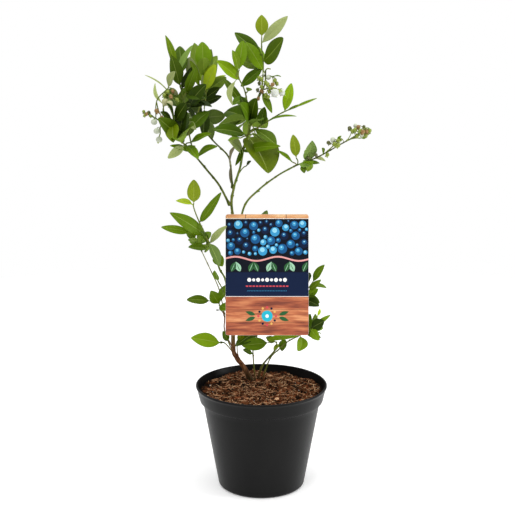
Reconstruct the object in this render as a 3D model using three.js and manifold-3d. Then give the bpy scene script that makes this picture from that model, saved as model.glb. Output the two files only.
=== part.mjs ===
import * as THREE from 'three';
import { mergeVertices } from 'three/addons/utils/BufferGeometryUtils.js';
import Module from 'manifold-3d';

// A young highbush blueberry in a 2 litre nursery pot. Millimetres, +Z up.
// The origin is the centre of the pot's flat underside, and the plant faces -Y.

// ---- Pot and compost -------------------------------------------------------------------------

const POT = {
  height: 136,
  rimRadius: 85,
  rimDepth: 20.7,
  collarRadius: 79.8,
  bodyRadius: 76.1,
  baseRadius: 56.7,
  edgeRadius: 5,
  stepRise: 0.8,
  rimRound: 0.5,
  rimSlope: 0.4,
  toeInset: 2,
  wall: 1.7,
  lip: 2.4,
  floor: 2.4,
  segments: 32,
};
const DRAINS = { count: 6, radius: 4.5, ring: 42, sides: 8 };
const GAP = 0.3;
const COMPOST = { edgeHeight: 129.5, middleHeight: 131, edgeDrop: 1.2, edgeWidth: 8 };
const MOUND = { x: -6, y: 36, height: 130.6, flatRadius: 13, footRadius: 40, depth: 8, sides: 24 };
const GROUND = MOUND.height + GAP;

// ---- Plant label -----------------------------------------------------------------------------

const CARD = {
  width: 104.4,
  height: 152.2,
  thickness: 0.8,
  corner: 3,
  cornerSteps: 4,
  lean: 12.3,
  centre: [7, -17, 285],
};
const TIE = { height: 346, thickness: 1.4, width: 4, strap: 4, strapHeight: 3.2, overrun: 6, sides: 14 };
const STEM_PLACES = 200;
const KEEP_OUT_DEPTH = 20;

// ---- Growth rule -----------------------------------------------------------------------------

const SPIRAL = { turn: 137.5, jitter: 25, first: 0.12, spread: 0.86, early: 0.2, late: 0.8 };
const PITCH = { foot: 66, loss: 24, jitter: 16 };
const LEAF_LENGTH = { ends: 0.78, middleGain: 0.24, least: 0.82, most: 1.14 };
const LEAF_WIDTH = { least: 0.85, most: 1.15 };
const TIP_LEAF = { overlap: 1.04, least: 0.92, most: 1.08, sway: 0.5, out: 0.75, up: 0.6, carrier: 0.2 };
const BEND = { curlLeast: 6, curlMost: 46, foldLeast: 8, foldMost: 26, roll: 28 };
const LIGHT_PULL = { up: 0.55, out: 0.35 };
const BACK_Y = 40;
const MASS_CLEARANCE = 2.5;
const LIMB_CLEARANCE = 1.5;
const LEAF_CLEARANCE = 1.5;
const TWIG_SIDES = 3;
const LIMB_SIDES = 6;
const LIMB_STEPS = 2;
const LIMB_MARKS = 60;
const TWIG_MARKS = 9;
const ROOT_FLARE = { extra: 0.4, reach: 0.05, sunk: 4 };
const TWIG = { tipRadius: 0.55, sideShare: 0.75, bow: 0.16, shortest: 0.08 };
const STEM_SHORTEST = 0.15;
const SESSILE = 0.8;
const SLIVER = 0.01;
const WELD = 1e-5;
const EARTH = { width: 400, depth: 60 };
const LEAF = {
  rows: [0, 0.27, 0.66, 1],
  longRows: [0, 0.2, 0.5, 0.79, 1],
  long: 36,
  thickness: 0.35,
  thicknessShare: 0.008,
  sunk: 0.1,
  tipSunk: 1.2,
};
const BELL = {
  radius: 2.7,
  halfLength: 4.1,
  droop: 4,
  stalk: 0.7,
  nearest: 4,
  furthest: 8,
  least: 0.8,
  most: 1.1,
  smallest: 0.78,
  first: 0.3,
};
const X = new THREE.Vector3(1, 0, 0);
const Y = new THREE.Vector3(0, 1, 0);
const Z = new THREE.Vector3(0, 0, 1);

const ground = (x, y) => [x, y, GROUND - ROOT_FLARE.sunk];
const shoot = (at, tip, { leaves = 1, size, slim = 0.58, blooms = 0, bell = 1 }) => (
  { at, tip, leaves, size, slim, blooms, bell });

// Stems and boughs, each from the ground or from [limb, share of its length], 1 being its tip.
const LIMBS = [
  { name: 'main_stem', from: ground(-13, 40), footR: 3.2, tipR: 1.6,
    way: [[-24, 36, 148], [-33, 34, 161], [-37, 30, 179], [-36, 22, 256], [-34, 16, 329], [-38, 12, 371],
      [-34, 10, 395]] },
  { name: 'left_bough', from: ['main_stem', 0.855], footR: 1.5, tipR: 1.1,
    way: [[-53, 0, 396], [-68, -10, 417], [-90, -26, 447]] },
  { name: 'upper_left_bough', from: ['main_stem', 0.975], footR: 1.3, tipR: 0.9,
    way: [[-39, 18, 418], [-43, 22, 431], [-60, 30, 447], [-81, 38, 469]] },
  { name: 'upper_right_bough', from: ['main_stem', 1], footR: 1.5, tipR: 0.9,
    way: [[-27, 4, 417], [-23, 0, 438], [-17, -4, 460], [-11, -7, 490], [0, -9, 516]] },
  { name: 'right_bough', from: ['main_stem', 0.7], footR: 1.5, tipR: 1.0,
    way: [[-22, 8, 367], [-4, -2, 390], [20, -12, 410], [41, -20, 423]] },
  { name: 'low_left_stem', from: ['main_stem', 0.48], footR: 1.4, tipR: 1.2,
    way: [[-45, 4, 268], [-53, -3, 289], [-58, -8, 307]] },
  { name: 'side_twig', from: ['main_stem', 0.26], footR: 1.0, tipR: 0.8,
    way: [[-47, 20, 198], [-48, 20, 220], [-52, 20, 230]] },
  { name: 'dry_twig', from: ['side_twig', 0.75], footR: 0.8, tipR: 0.6,
    way: [[-55, 30, 254], [-66, 34, 279], [-78, 36, 305]] },
  { name: 'mid_shoot', from: ground(-8, 33), footR: 1.0, tipR: 0.8,
    way: [[-11, 31, 169], [-8, 27, 183], [-6, 22, 194]] },
  { name: 'right_low_stem', from: ground(-5, 42), footR: 1.4, tipR: 1.0,
    way: [[2, 38, 149], [15, 30, 168], [28, 24, 188], [46, 20, 223], [54, 16, 244]] },
  { name: 'right_low_twig', from: ground(0, 30), footR: 0.9, tipR: 0.8,
    way: [[11, 16, 164], [23, 8, 180], [34, 2, 192], [47, -4, 201]] },
  { name: 'back_stem', from: ['main_stem', 0.52], footR: 1.3, tipR: 1.0,
    way: [[-20, 40, 285], [-10, 50, 303]] },
];

// Masses of foliage: the stem's way and furthest tip, its leaves, and the shoots that leave it.
const MASSES = {
  top_sprig: { from: ['upper_right_bough', 1], way: [[2, -10, 544], [0, -12, 565]], tip: [0, -14, 604],
    leaves: 2, size: 26, slim: 0.58, r: 1.0, seed: 174,
    shoots: [
      shoot(0.8, [30, -24, 602], { size: 40, slim: 0.3 }),
      shoot(0.4, [25, -34, 578], { size: 46, slim: 0.6 }),
      shoot(0.5, [-32, 2, 582], { size: 40, slim: 0.42 }),
      shoot(0.25, [-16, 26, 570], { leaves: 2, size: 42, slim: 0.62 }),
      shoot(0.3, [-25, -2, 520], { size: 34, slim: 0.4 }),
      shoot(0.2, [27, 42, 549], { leaves: 4, size: 38, slim: 0.58 }),
    ] },
  blossom_twig: { from: ['upper_right_bough', 0.86], way: [[3, -20, 520]], tip: [5, -24, 540],
    leaves: 0, size: 16, slim: 0.58, r: 0.9, seed: 162,
    shoots: [
      shoot(0.4, [25, -36, 515], { size: 12, slim: 0.4, blooms: 6 }),
      shoot(0.8, [23, -32, 532], { size: 12, slim: 0.4, blooms: 5 }),
    ] },
  upper_sprig: { from: ['upper_right_bough', 0.74], way: [[-20, -22, 513], [-27, -26, 529]],
    tip: [-35, -28, 563], leaves: 1, size: 26, slim: 0.58, r: 1.0, seed: 102,
    shoots: [
      shoot(0.8, [-22, -20, 573], { leaves: 2, size: 34, slim: 0.58 }),
      shoot(0.62, [-53, -32, 550], { size: 36, slim: 0.58 }),
      shoot(0.05, [-47, -6, 530], { leaves: 2, size: 46, slim: 0.38 }),
      shoot(0.25, [-34, -36, 499], { size: 24, slim: 0.62 }),
      shoot(0.3, [-14, -40, 519], { size: 14, slim: 0.58 }),
    ] },
  centre_back: { from: ['upper_right_bough', 0.66], way: [[-13, 26, 487]], tip: [-4, 60, 518],
    leaves: 5, size: 42, slim: 0.58, r: 1.0, seed: 222,
    shoots: [
      shoot(0.2, [-45, 52, 483], { leaves: 4, size: 42, slim: 0.58 }),
      shoot(0.4, [29, 66, 494], { leaves: 4, size: 40, slim: 0.58 }),
      shoot(0.1, [1, 68, 437], { leaves: 5, size: 42, slim: 0.58 }),
      shoot(0.3, [-33, 50, 447], { leaves: 3, size: 38, slim: 0.58 }),
    ] },
  centre_front: { from: ['upper_right_bough', 0.56], way: [[-14, -22, 470]], tip: [-7, -44, 507],
    leaves: 3, size: 36, slim: 0.52, r: 1.0, seed: 147,
    shoots: [
      shoot(0.1, [8, -40, 418], { size: 57, slim: 0.62 }),
      shoot(0.15, [-58, -34, 469], { leaves: 2, size: 46, slim: 0.42 }),
      shoot(0.2, [22, -62, 451], { size: 36, slim: 0.58 }),
      shoot(0.1, [-40, -46, 457], { size: 28, slim: 0.58 }),
      shoot(0.3, [17, -66, 481], { leaves: 3, size: 40, slim: 0.58 }),
      shoot(0.5, [-26, -60, 502], { leaves: 2, size: 40, slim: 0.58 }),
      shoot(0.05, [-15, -26, 427], { size: 20, slim: 0.58 }),
    ] },
  right_spray: { from: ['upper_right_bough', 0.62], way: [[8, -10, 477], [24, -14, 487]],
    tip: [66, -22, 506], leaves: 1, size: 30, slim: 0.26, r: 1.0, seed: 96,
    shoots: [
      shoot(0.75, [36, -10, 522], { size: 28, slim: 0.48 }),
      shoot(0.4, [42, -24, 484], { size: 32, slim: 0.28 }),
      shoot(0.5, [28, 14, 469], { leaves: 2, size: 30, slim: 0.4 }),
    ] },
  left_back: { from: ['upper_left_bough', 1], way: [[-78, 38, 495], [-72, 34, 512]], tip: [-58, 30, 543],
    leaves: 3, size: 38, slim: 0.6, r: 1.0, seed: 295,
    shoots: [
      shoot(0.6, [-75, 42, 570], { leaves: 3, size: 36, slim: 0.62 }),
      shoot(0.5, [-89, 20, 553], { leaves: 2, size: 36, slim: 0.52 }),
      shoot(0.55, [-47, 26, 528], { size: 34, slim: 0.42 }),
      shoot(0.3, [-51, 40, 503], { size: 34, slim: 0.42 }),
      shoot(0.3, [-85, 64, 568], { leaves: 4, size: 38, slim: 0.58 }),
      shoot(0.4, [-57, 70, 552], { leaves: 4, size: 42, slim: 0.58 }),
      shoot(0.2, [-64, 84, 506], { leaves: 4, size: 42, slim: 0.58 }),
      shoot(0.1, [-60, 94, 463], { leaves: 4, size: 38, slim: 0.58 }),
      shoot(0.1, [-106, 76, 470], { leaves: 3, size: 40, slim: 0.58 }),
    ] },
  left_top: { from: ['left_bough', 0.92], way: [[-93, -6, 480], [-98, 2, 512]], tip: [-117, 6, 579],
    leaves: 5, size: 40, slim: 0.45, r: 1.0, seed: 119,
    shoots: [
      shoot(0.6, [-109, -16, 556], { leaves: 2, size: 40, slim: 0.58 }),
      shoot(0.55, [-80, -24, 542], { leaves: 3, size: 38, slim: 0.52 }),
      shoot(0.5, [-102, 30, 565], { leaves: 3, size: 36, slim: 0.58 }),
      shoot(0.2, [-64, -10, 488], { leaves: 3, size: 38, slim: 0.55 }),
      shoot(0.4, [-67, -30, 523], { leaves: 3, size: 38, slim: 0.55 }),
      shoot(0.3, [-118, 44, 511], { leaves: 4, size: 38, slim: 0.52 }),
    ] },
  left_low: { from: ['left_bough', 1], way: [[-99, -32, 457], [-106, -38, 475]], tip: [-90, -56, 502],
    leaves: 2, size: 40, slim: 0.55, r: 1.0, seed: 14,
    shoots: [
      shoot(0.3, [-122, -56, 485], { leaves: 2, size: 40, slim: 0.58 }),
      shoot(0.6, [-120, -40, 490], { leaves: 2, size: 30, slim: 0.4 }),
      shoot(0.1, [-113, -44, 436], { leaves: 2, size: 28, slim: 0.4 }),
      shoot(0.2, [-80, -66, 477], { leaves: 2, size: 46, slim: 0.62 }),
      shoot(0.02, [-53, -30, 449], { size: 28, slim: 0.42 }),
      shoot(0.05, [-76, -54, 436], { size: 30, slim: 0.4 }),
      shoot(0.1, [-61, -48, 465], { leaves: 2, size: 32, slim: 0.58 }),
      shoot(0.1, [-100, -84, 462], { leaves: 3, size: 36, slim: 0.58 }),
    ] },
  left_bloom: { from: ['left_bough', 0.97], way: [[-108, -12, 461], [-125, -10, 477]],
    tip: [-146, -10, 489], leaves: 0, size: 18, slim: 0.58, r: 0.9, seed: 232,
    shoots: [
      shoot(0.6, [-127, -16, 450], { size: 12, slim: 0.4, blooms: 4 }),
      shoot(0.75, [-145, -16, 493], { size: 9, slim: 0.4, blooms: 5, bell: 0.7 }),
      shoot(0.5, [-115, -30, 516], { size: 14, slim: 0.4, blooms: 6 }),
      shoot(0.45, [-144, 4, 531], { leaves: 2, size: 36, slim: 0.3 }),
      shoot(0.4, [-130, -24, 521], { size: 34, slim: 0.4 }),
    ] },
  right_arm: { from: ['right_bough', 1], way: [[69, -26, 435], [101, -32, 454]], tip: [132, -36, 469],
    leaves: 3, size: 18, slim: 0.58, r: 0.9, seed: 246,
    shoots: [
      shoot(0.03, [38, -14, 460], { size: 28, slim: 0.48 }),
      shoot(0.16, [61, -34, 455], { size: 30, slim: 0.66 }),
      shoot(0.02, [19, -26, 442], { size: 24, slim: 0.3 }),
      shoot(0.1, [52, -32, 416], { leaves: 3, size: 22, slim: 0.58 }),
      shoot(0.12, [75, -8, 444], { leaves: 3, size: 20, slim: 0.62 }),
      shoot(0.42, [96, -38, 462], { size: 9, slim: 0.4, blooms: 5, bell: 0.7 }),
      shoot(0.74, [132, -44, 477], { size: 9, slim: 0.4, blooms: 6, bell: 0.65 }),
      shoot(0.8, [127, -24, 458], { size: 9, slim: 0.4, blooms: 4, bell: 0.65 }),
      shoot(0.15, [63, 10, 439], { leaves: 3, size: 26, slim: 0.58 }),
    ] },
  low_left: { from: ['low_left_stem', 1], way: [[-67, -14, 329], [-79, -20, 357], [-84, -22, 372]],
    tip: [-83, -22, 406], leaves: 2, size: 30, slim: 0.52, r: 1.0, seed: 195,
    shoots: [
      shoot(0.85, [-106, -16, 379], { size: 26, slim: 0.32 }),
      shoot(0.6, [-50, -28, 392], { size: 42, slim: 0.42 }),
      shoot(0.45, [-113, -34, 366], { size: 42, slim: 0.48 }),
      shoot(0.3, [-124, -20, 347], { size: 36, slim: 0.3 }),
      shoot(0.2, [-43, -30, 349], { size: 32, slim: 0.58 }),
      shoot(0.02, [-49, -26, 298], { size: 30, slim: 0.6 }),
      shoot(0.4, [-73, 12, 357], { leaves: 4, size: 30, slim: 0.52 }),
      shoot(0.1, [-91, -14, 320], { leaves: 2, size: 24, slim: 0.58 }),
    ] },
  dry_tip: { from: ['dry_twig', 1], way: [[-84, 38, 313]], tip: [-97, 36, 337],
    leaves: 3, size: 24, slim: 0.58, r: 0.7, seed: 94,
    shoots: [
      shoot(0.3, [-67, 56, 325], { leaves: 3, size: 26, slim: 0.52 }),
    ] },
  side_pair: { from: ['side_twig', 1], way: [[-57, 12, 243]], tip: [-95, 0, 248],
    leaves: 1, size: 30, slim: 0.42, r: 0.8, seed: 126,
    shoots: [
      shoot(0.3, [-46, 22, 262], { leaves: 3, size: 34, slim: 0.58 }),
      shoot(0.2, [-67, 0, 236], { leaves: 2, size: 26, slim: 0.58 }),
    ] },
  foot_leaves: { from: ['main_stem', 0.17], way: [[-46, 14, 185]], tip: [-90, 4, 196],
    leaves: 1, size: 39, slim: 0.42, r: 0.8, seed: 101,
    shoots: [
      shoot(0.2, [-50, 12, 203], { size: 18, slim: 0.52 }),
      shoot(0.1, [-27, -6, 208], { size: 18, slim: 0.58 }),
    ] },
  mid_low: { from: ['mid_shoot', 1], way: [[-3, 16, 206]], tip: [1, 8, 251],
    leaves: 4, size: 30, slim: 0.46, r: 0.8, seed: 162,
    shoots: [
      shoot(0.1, [-27, 24, 174], { leaves: 2, size: 28, slim: 0.58 }),
      shoot(0.2, [14, 2, 221], { leaves: 2, size: 26, slim: 0.58 }),
      shoot(0.4, [-23, 24, 226], { leaves: 3, size: 30, slim: 0.58 }),
    ] },
  right_low: { from: ['right_low_stem', 0.47], way: [[20, 14, 187]], tip: [6, -2, 199],
    leaves: 1, size: 24, slim: 0.46, r: 0.8, seed: 150,
    shoots: [
      shoot(0.4, [30, 18, 172], { size: 20, slim: 0.62 }),
    ] },
  right_tip: { from: ['right_low_twig', 1], way: [[57, -8, 208]], tip: [87, -16, 232],
    leaves: 3, size: 26, slim: 0.4, r: 0.8, seed: 124,
    shoots: [
      shoot(0.1, [48, -6, 182], { size: 22, slim: 0.58 }),
      shoot(0.3, [62, -6, 231], { size: 30, slim: 0.58 }),
      shoot(0.5, [75, -14, 202], { size: 22, slim: 0.4 }),
      shoot(0.3, [79, 22, 207], { leaves: 3, size: 26, slim: 0.52 }),
    ] },
  right_mid: { from: ['right_low_stem', 1], way: [[59, 12, 258]], tip: [80, 6, 292],
    leaves: 3, size: 28, slim: 0.42, r: 0.8, seed: 195,
    shoots: [
      shoot(0.3, [75, -6, 276], { size: 28, slim: 0.35 }),
      shoot(0.1, [74, 0, 244], { leaves: 2, size: 24, slim: 0.58 }),
      shoot(0.3, [48, 34, 290], { leaves: 3, size: 30, slim: 0.58 }),
    ] },
  back_mass: { from: ['back_stem', 1], way: [[-3, 56, 319]], tip: [7, 64, 352],
    leaves: 3, size: 30, slim: 0.5, r: 1.0, seed: 209,
    shoots: [
      shoot(0.2, [44, 84, 304], { leaves: 4, size: 34, slim: 0.58 }),
      shoot(0.3, [-47, 92, 310], { leaves: 4, size: 34, slim: 0.58 }),
      shoot(0.1, [1, 94, 241], { leaves: 4, size: 34, slim: 0.58 }),
      shoot(0.5, [-18, 84, 328], { leaves: 2, size: 30, slim: 0.58 }),
    ] },
};

// ---- Small tools -----------------------------------------------------------------------------

const wasm = await Module();
wasm.setup();

const vec = (p) => new THREE.Vector3(...p);
const radians = THREE.MathUtils.degToRad;
const mix = THREE.MathUtils.lerp;
const squareTo = (v, axis) => v.clone().addScaledVector(axis, -v.dot(axis)).normalize();

// A seeded stream of numbers, the same on every run.
function seeded(seed) {
  let state = Math.imul(seed, 2654435761) >>> 0;
  return (low, high) => {
    state = (Math.imul(1664525, state) + 1013904223) >>> 0;
    return low + ((high - low) * state) / 2 ** 32;
  };
}

// A smooth way through a few points, with its direction at any share of it.
class Route {
  constructor(points) {
    this.curve = new THREE.CatmullRomCurve3(points, false, 'catmullrom', 0.5);
  }

  at(t) {
    return this.curve.getPoint(THREE.MathUtils.clamp(t, 0, 1));
  }

  along(t) {
    return this.at(t + 0.001).sub(this.at(t - 0.001)).normalize();
  }

  points(count) {
    return Array.from({ length: count }, (_, i) => this.at(i / (count - 1)));
  }
}

function toSolid(geometry) {
  geometry.deleteAttribute('normal');
  geometry.deleteAttribute('uv');
  const merged = mergeVertices(geometry, WELD);
  return new wasm.Manifold(new wasm.Mesh({
    numProp: 3,
    vertProperties: Float32Array.from(merged.attributes.position.array),
    triVerts: Uint32Array.from(merged.index.array),
  }));
}

function toGeometry(solid) {
  const mesh = solid.getMesh();
  const geometry = new THREE.BufferGeometry();
  geometry.setAttribute('position', new THREE.BufferAttribute(mesh.vertProperties, 3));
  geometry.setIndex(new THREE.BufferAttribute(mesh.triVerts, 1));
  geometry.computeVertexNormals();
  return geometry;
}

const join = (solids) => solids.reduce((whole, piece) => whole.add(piece));
const largest = (solid) => solid.decompose().reduce((a, b) => (a.volume() > b.volume() ? a : b));

// Moves each vertex of a geometry by a rule that takes and returns a Vector3.
function bend(geometry, rule) {
  const position = geometry.attributes.position;
  for (let i = 0; i < position.count; i += 1) {
    const moved = rule(new THREE.Vector3().fromBufferAttribute(position, i));
    position.setXYZ(i, moved.x, moved.y, moved.z);
  }
  return geometry;
}

// A tapering rod along a route; flare widens its foot.
function rod(route, footR, tipR, sides, steps, flare = 0) {
  const chord = route.at(1).sub(route.at(0)).normalize();
  const guide = Math.abs(chord.x) < 0.7 ? X : Y;
  return bend(new THREE.CylinderGeometry(1, 1, 1, sides, steps), (p) => {
    const t = p.y + 0.5;
    const axis = route.along(t);
    const across = squareTo(guide, axis);
    const radius = mix(footR, tipR, t) * (1 + flare * Math.exp(-t / ROOT_FLARE.reach));
    return route.at(t)
      .addScaledVector(across, p.x * radius)
      .addScaledVector(across.clone().cross(axis), p.z * radius);
  });
}

// ---- Limbs -----------------------------------------------------------------------------------

const limbs = {};

// Where a limb or a mass's stem starts: on the tip or just clear of the side of what carries it.
function footOn([name, t], toward, radius) {
  const carrier = limbs[name];
  const axis = carrier.route.along(t);
  const middle = carrier.route.at(t);
  const way = toward.clone().sub(middle).normalize();
  if (t === 1) return middle.addScaledVector(axis, GAP + 1.1 * radius * Math.sqrt(1 - way.dot(axis) ** 2));
  const reach = mix(carrier.footR, carrier.tipR, t) + GAP + radius * Math.abs(way.dot(axis));
  return middle.addScaledVector(squareTo(way, axis), reach);
}

function growLimb({ name, from, footR, tipR, way }) {
  const rest = way.map(vec);
  const rooted = typeof from[0] === 'number';
  const foot = rooted ? vec(from) : footOn(from, rest[0], footR);
  limbs[name] = { route: new Route([foot, ...rest]), footR, tipR, rooted };
}
LIMBS.forEach(growLimb);

function limbSolid({ route, footR, tipR, rooted }) {
  const steps = LIMB_STEPS * (route.curve.points.length - 1);
  const solid = toSolid(rod(route, footR, tipR, LIMB_SIDES, steps, rooted ? ROOT_FLARE.extra : 0));
  if (!rooted) return solid;
  const earth = new THREE.BoxGeometry(EARTH.width, EARTH.width, EARTH.depth);
  earth.translate(0, 0, GROUND - EARTH.depth / 2);
  return largest(solid.subtract(toSolid(earth)));
}

// ---- Foliage ---------------------------------------------------------------------------------

// The twig of a mass's stem: it stops a leaf short of the mass's tip.
function stemRoute({ from, way, tip, leaves, size, r }) {
  const points = way.map(vec);
  const last = points[points.length - 1];
  const gap = vec(tip).sub(last);
  const leafLength = Math.min(leaves ? size : 1, gap.length() * (1 - STEM_SHORTEST));
  const end = vec(tip).addScaledVector(gap.normalize(), -leafLength);
  return new Route([footOn(from, points[0], r), ...points, end]);
}

// The twig of a shoot: it leaves the stem, bows along it and stops a leaf short of its tip.
// A shoot that is one leaf long has no twig.
function twigRoute(stem, { at, tip, size, leaves }) {
  const start = stem.at(at);
  const gap = vec(tip).sub(start);
  if (leaves === 1 && size > SESSILE * gap.length()) return null;
  const leafLength = Math.min(size, gap.length() * (1 - TWIG.shortest));
  const end = vec(tip).addScaledVector(gap.normalize(), -leafLength);
  const run = end.clone().sub(start);
  const middle = start.clone().addScaledVector(run, 0.5);
  middle.addScaledVector(stem.along(at), TWIG.bow * run.length());
  return new Route([start, middle, end]);
}

// The direction that leaves an axis at an angle round it.
function sideways(axis, degrees) {
  const guide = Math.abs(axis.x) < 0.85 ? X : Z;
  const a = squareTo(guide, axis);
  const b = axis.clone().cross(a);
  return a.multiplyScalar(Math.cos(radians(degrees))).addScaledVector(b, Math.sin(radians(degrees)));
}

// Leaves turn their faces out of the crown: forwards in front, backwards behind.
const outward = (place) => (place.y < BACK_Y ? -1 : 1);

// One leaf: it curls along its length, folds along its midrib and rolls a little about it.
function newLeaf(base, dir, face, length, width, draw, last = false) {
  const curl = radians(draw(BEND.curlLeast, BEND.curlMost));
  const fold = radians(draw(BEND.foldLeast, BEND.foldMost));
  const roll = radians(draw(-BEND.roll, BEND.roll));
  const up = face.clone().multiplyScalar(Math.cos(roll));
  up.addScaledVector(dir.clone().cross(face), Math.sin(roll));
  return { base, dir, up, length, width, curl, fold, last };
}

// Leaves stand round a twig in a spiral, steeper towards its end, with one at the very tip.
function leavesOf(route, carrierAxis, { leaves, size, slim, tip }, draw) {
  const grown = [];
  const turn = draw(0, 360);
  for (let i = 0; i < leaves - 1; i += 1) {
    const t = SPIRAL.first + (SPIRAL.spread * (i + draw(SPIRAL.early, SPIRAL.late))) / (leaves - 1);
    const around = turn + SPIRAL.turn * i + draw(-SPIRAL.jitter, SPIRAL.jitter);
    const pitch = radians(PITCH.foot - PITCH.loss * t + draw(-PITCH.jitter, PITCH.jitter));
    const share = LEAF_LENGTH.ends + LEAF_LENGTH.middleGain * Math.sin(Math.PI * t);
    const length = size * share * draw(LEAF_LENGTH.least, LEAF_LENGTH.most);
    const width = length * slim * draw(LEAF_WIDTH.least, LEAF_WIDTH.most);
    const axis = route.along(t);
    const side = sideways(axis, around);
    const dir = axis.clone().multiplyScalar(Math.cos(pitch)).addScaledVector(side, Math.sin(pitch));
    const inward = axis.clone().multiplyScalar(Math.sin(pitch)).addScaledVector(side, -Math.cos(pitch));
    const base = route.at(t);
    inward.addScaledVector(Z, LIGHT_PULL.up).addScaledVector(Y, LIGHT_PULL.out * outward(base));
    grown.push(newLeaf(base, dir, squareTo(inward, dir), length, width, draw));
  }
  grown.push(tipLeaf(route.at(1), carrierAxis, { slim, tip }, draw));
  return grown;
}

// The leaf at a twig's end, or straight on the stem, reaches the shoot's tip.
function tipLeaf(end, carrierAxis, { slim, tip }, draw) {
  const reach = vec(tip).sub(end);
  const dir = reach.clone().normalize();
  const { overlap, least, most, sway, out, up, carrier } = TIP_LEAF;
  const open = new THREE.Vector3(draw(-sway, sway), out * outward(end), up);
  open.addScaledVector(carrierAxis, carrier);
  const width = reach.length() * slim * draw(least, most);
  return newLeaf(end, dir, squareTo(open, dir), reach.length() * overlap, width, draw, true);
}

// Bells hang round the outer part of a shoot, each on its own stalk.
function bloomsOf(route, { blooms, bell }, draw) {
  const turn = draw(0, 360);
  return Array.from({ length: blooms }, (_, k) => {
    const t = BELL.first + ((1 - BELL.first) * (k + 0.5)) / blooms;
    const side = sideways(route.along(t), turn + SPIRAL.turn * k);
    const root = route.at(t);
    const centre = root.clone().addScaledVector(side, draw(BELL.nearest, BELL.furthest) * bell);
    centre.addScaledVector(Z, -BELL.droop * bell);
    return { root, centre, size: bell * draw(BELL.least, BELL.most) };
  });
}

// Half a leaf's width at a share of its length: widest before the middle, pointed at the tip.
const leafHalfWidth = (s) => Math.sin(Math.PI * s ** 0.9) ** 0.85 * (1 - 0.12 * s);

// The middle of a leaf and its own upward direction at a share of its length.
function leafSpine({ base, dir, up, length, curl }, s) {
  const steps = 12;
  const middle = base.clone();
  for (let k = 0; k < steps; k += 1) {
    const angle = curl * (0.5 - (s * (k + 0.5)) / steps);
    middle.addScaledVector(dir, (Math.cos(angle) * length * s) / steps);
    middle.addScaledVector(up, (Math.sin(angle) * length * s) / steps);
  }
  const lean = curl * (0.5 - s);
  const normal = up.clone().multiplyScalar(Math.cos(lean)).addScaledVector(dir, -Math.sin(lean));
  return { middle, normal };
}

// A point of a leaf: across runs from -1 at its left edge to 1 at its right one.
function leafPoint(leaf, s, across, halfWidth, lift = 0) {
  const { middle, normal } = leafSpine(leaf, s);
  return middle
    .addScaledVector(leaf.dir.clone().cross(leaf.up), across * halfWidth * Math.cos(leaf.fold))
    .addScaledVector(normal, Math.abs(across) * halfWidth * Math.sin(leaf.fold) + lift);
}

const SAMPLE_ROWS = [0, 0.12, 0.25, 0.38, 0.5, 0.62, 0.75, 0.87, 1];
const SAMPLE_COLUMNS = [-1, -0.5, 0, 0.5, 1];
const NARROWEST = 0.03;
const leafSamples = (leaf) => SAMPLE_ROWS.flatMap((s) => SAMPLE_COLUMNS.map(
  (across) => leafPoint(leaf, s, across, (leaf.width / 2) * Math.max(leafHalfWidth(s), NARROWEST))));
const bloomSamples = ({ centre, size }) => [X, Y, Z].flatMap((axis) => [-1, 1].map(
  (way) => centre.clone().addScaledVector(axis, way * BELL.halfLength * size)));

// A closed blade with a diamond section, pointed at both ends, its foot sunk in the twig.
function leafSolid(leaf) {
  const rows = leaf.length > LEAF.long ? LEAF.longRows : LEAF.rows;
  const blade = new THREE.SphereGeometry(1, 4, rows.length - 1);
  const thickness = Math.max(LEAF.thickness, leaf.length * LEAF.thicknessShare);
  const foot = leaf.base.clone().addScaledVector(leaf.dir, leaf.last ? -LEAF.tipSunk : -LEAF.sunk);
  return toSolid(bend(blade, (p) => {
    const row = Math.round((Math.acos(-THREE.MathUtils.clamp(p.y, -1, 1)) / Math.PI) * (rows.length - 1));
    const s = rows[row];
    if (row === 0) return foot.clone();
    if (s === 1) return leafPoint(leaf, 1, 0, 0);
    const ring = Math.hypot(p.x, p.z);
    return leafPoint(leaf, s, p.x / ring, (leaf.width / 2) * leafHalfWidth(s), (p.z / ring) * thickness);
  }));
}

// A bell on its stalk, one closed body from the twig's middle down to its mouth. A bud is plainer.
function bloomSolid({ root, centre, size }) {
  const half = BELL.halfLength * size;
  const level = (share) => centre.clone().addScaledVector(Z, share * half);
  const whole = [[root, 0], [level(0.8), BELL.stalk], [level(0), BELL.radius * size], [level(-1), 0]];
  const isBell = size > BELL.smallest;
  const rings = isBell ? whole : whole.filter(([, r]) => r !== BELL.stalk);
  return toSolid(bend(new THREE.SphereGeometry(1, isBell ? 5 : 4, rings.length - 1), (p) => {
    const row = Math.round((Math.acos(THREE.MathUtils.clamp(p.y, -1, 1)) / Math.PI) * (rings.length - 1));
    const [middle, r] = rings[row];
    if (r === 0) return middle.clone();
    const ring = Math.hypot(p.x, p.z);
    return new THREE.Vector3(p.x / ring, -p.z / ring, 0).multiplyScalar(r).add(middle);
  }));
}

function growMass([name, plan]) {
  const draw = seeded(plan.seed);
  const stem = stemRoute(plan);
  const twigs = [{ route: stem, footR: plan.r }];
  const leaves = plan.leaves ? leavesOf(stem, stem.along(1), plan, draw) : [];
  const blooms = [];
  plan.shoots.forEach((side) => {
    const route = twigRoute(stem, side);
    if (!route) {
      leaves.push(tipLeaf(stem.at(side.at), stem.along(side.at), side, draw));
      return;
    }
    twigs.push({ route, footR: TWIG.sideShare * plan.r });
    leaves.push(...leavesOf(route, stem.along(side.at), side, draw));
    blooms.push(...bloomsOf(route, side, draw));
  });
  const marks = [
    ...twigs.flatMap((twig) => twig.route.points(TWIG_MARKS)),
    ...leaves.filter((leaf) => leaf.last).flatMap(leafSamples),
    ...blooms.flatMap(bloomSamples),
  ];
  return { name, twigs, leaves, blooms, marks };
}

function nearest(point, marks) {
  const squared = marks.reduce((least, mark) => Math.min(least, point.distanceToSquared(mark)), Infinity);
  return Math.sqrt(squared);
}

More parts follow.
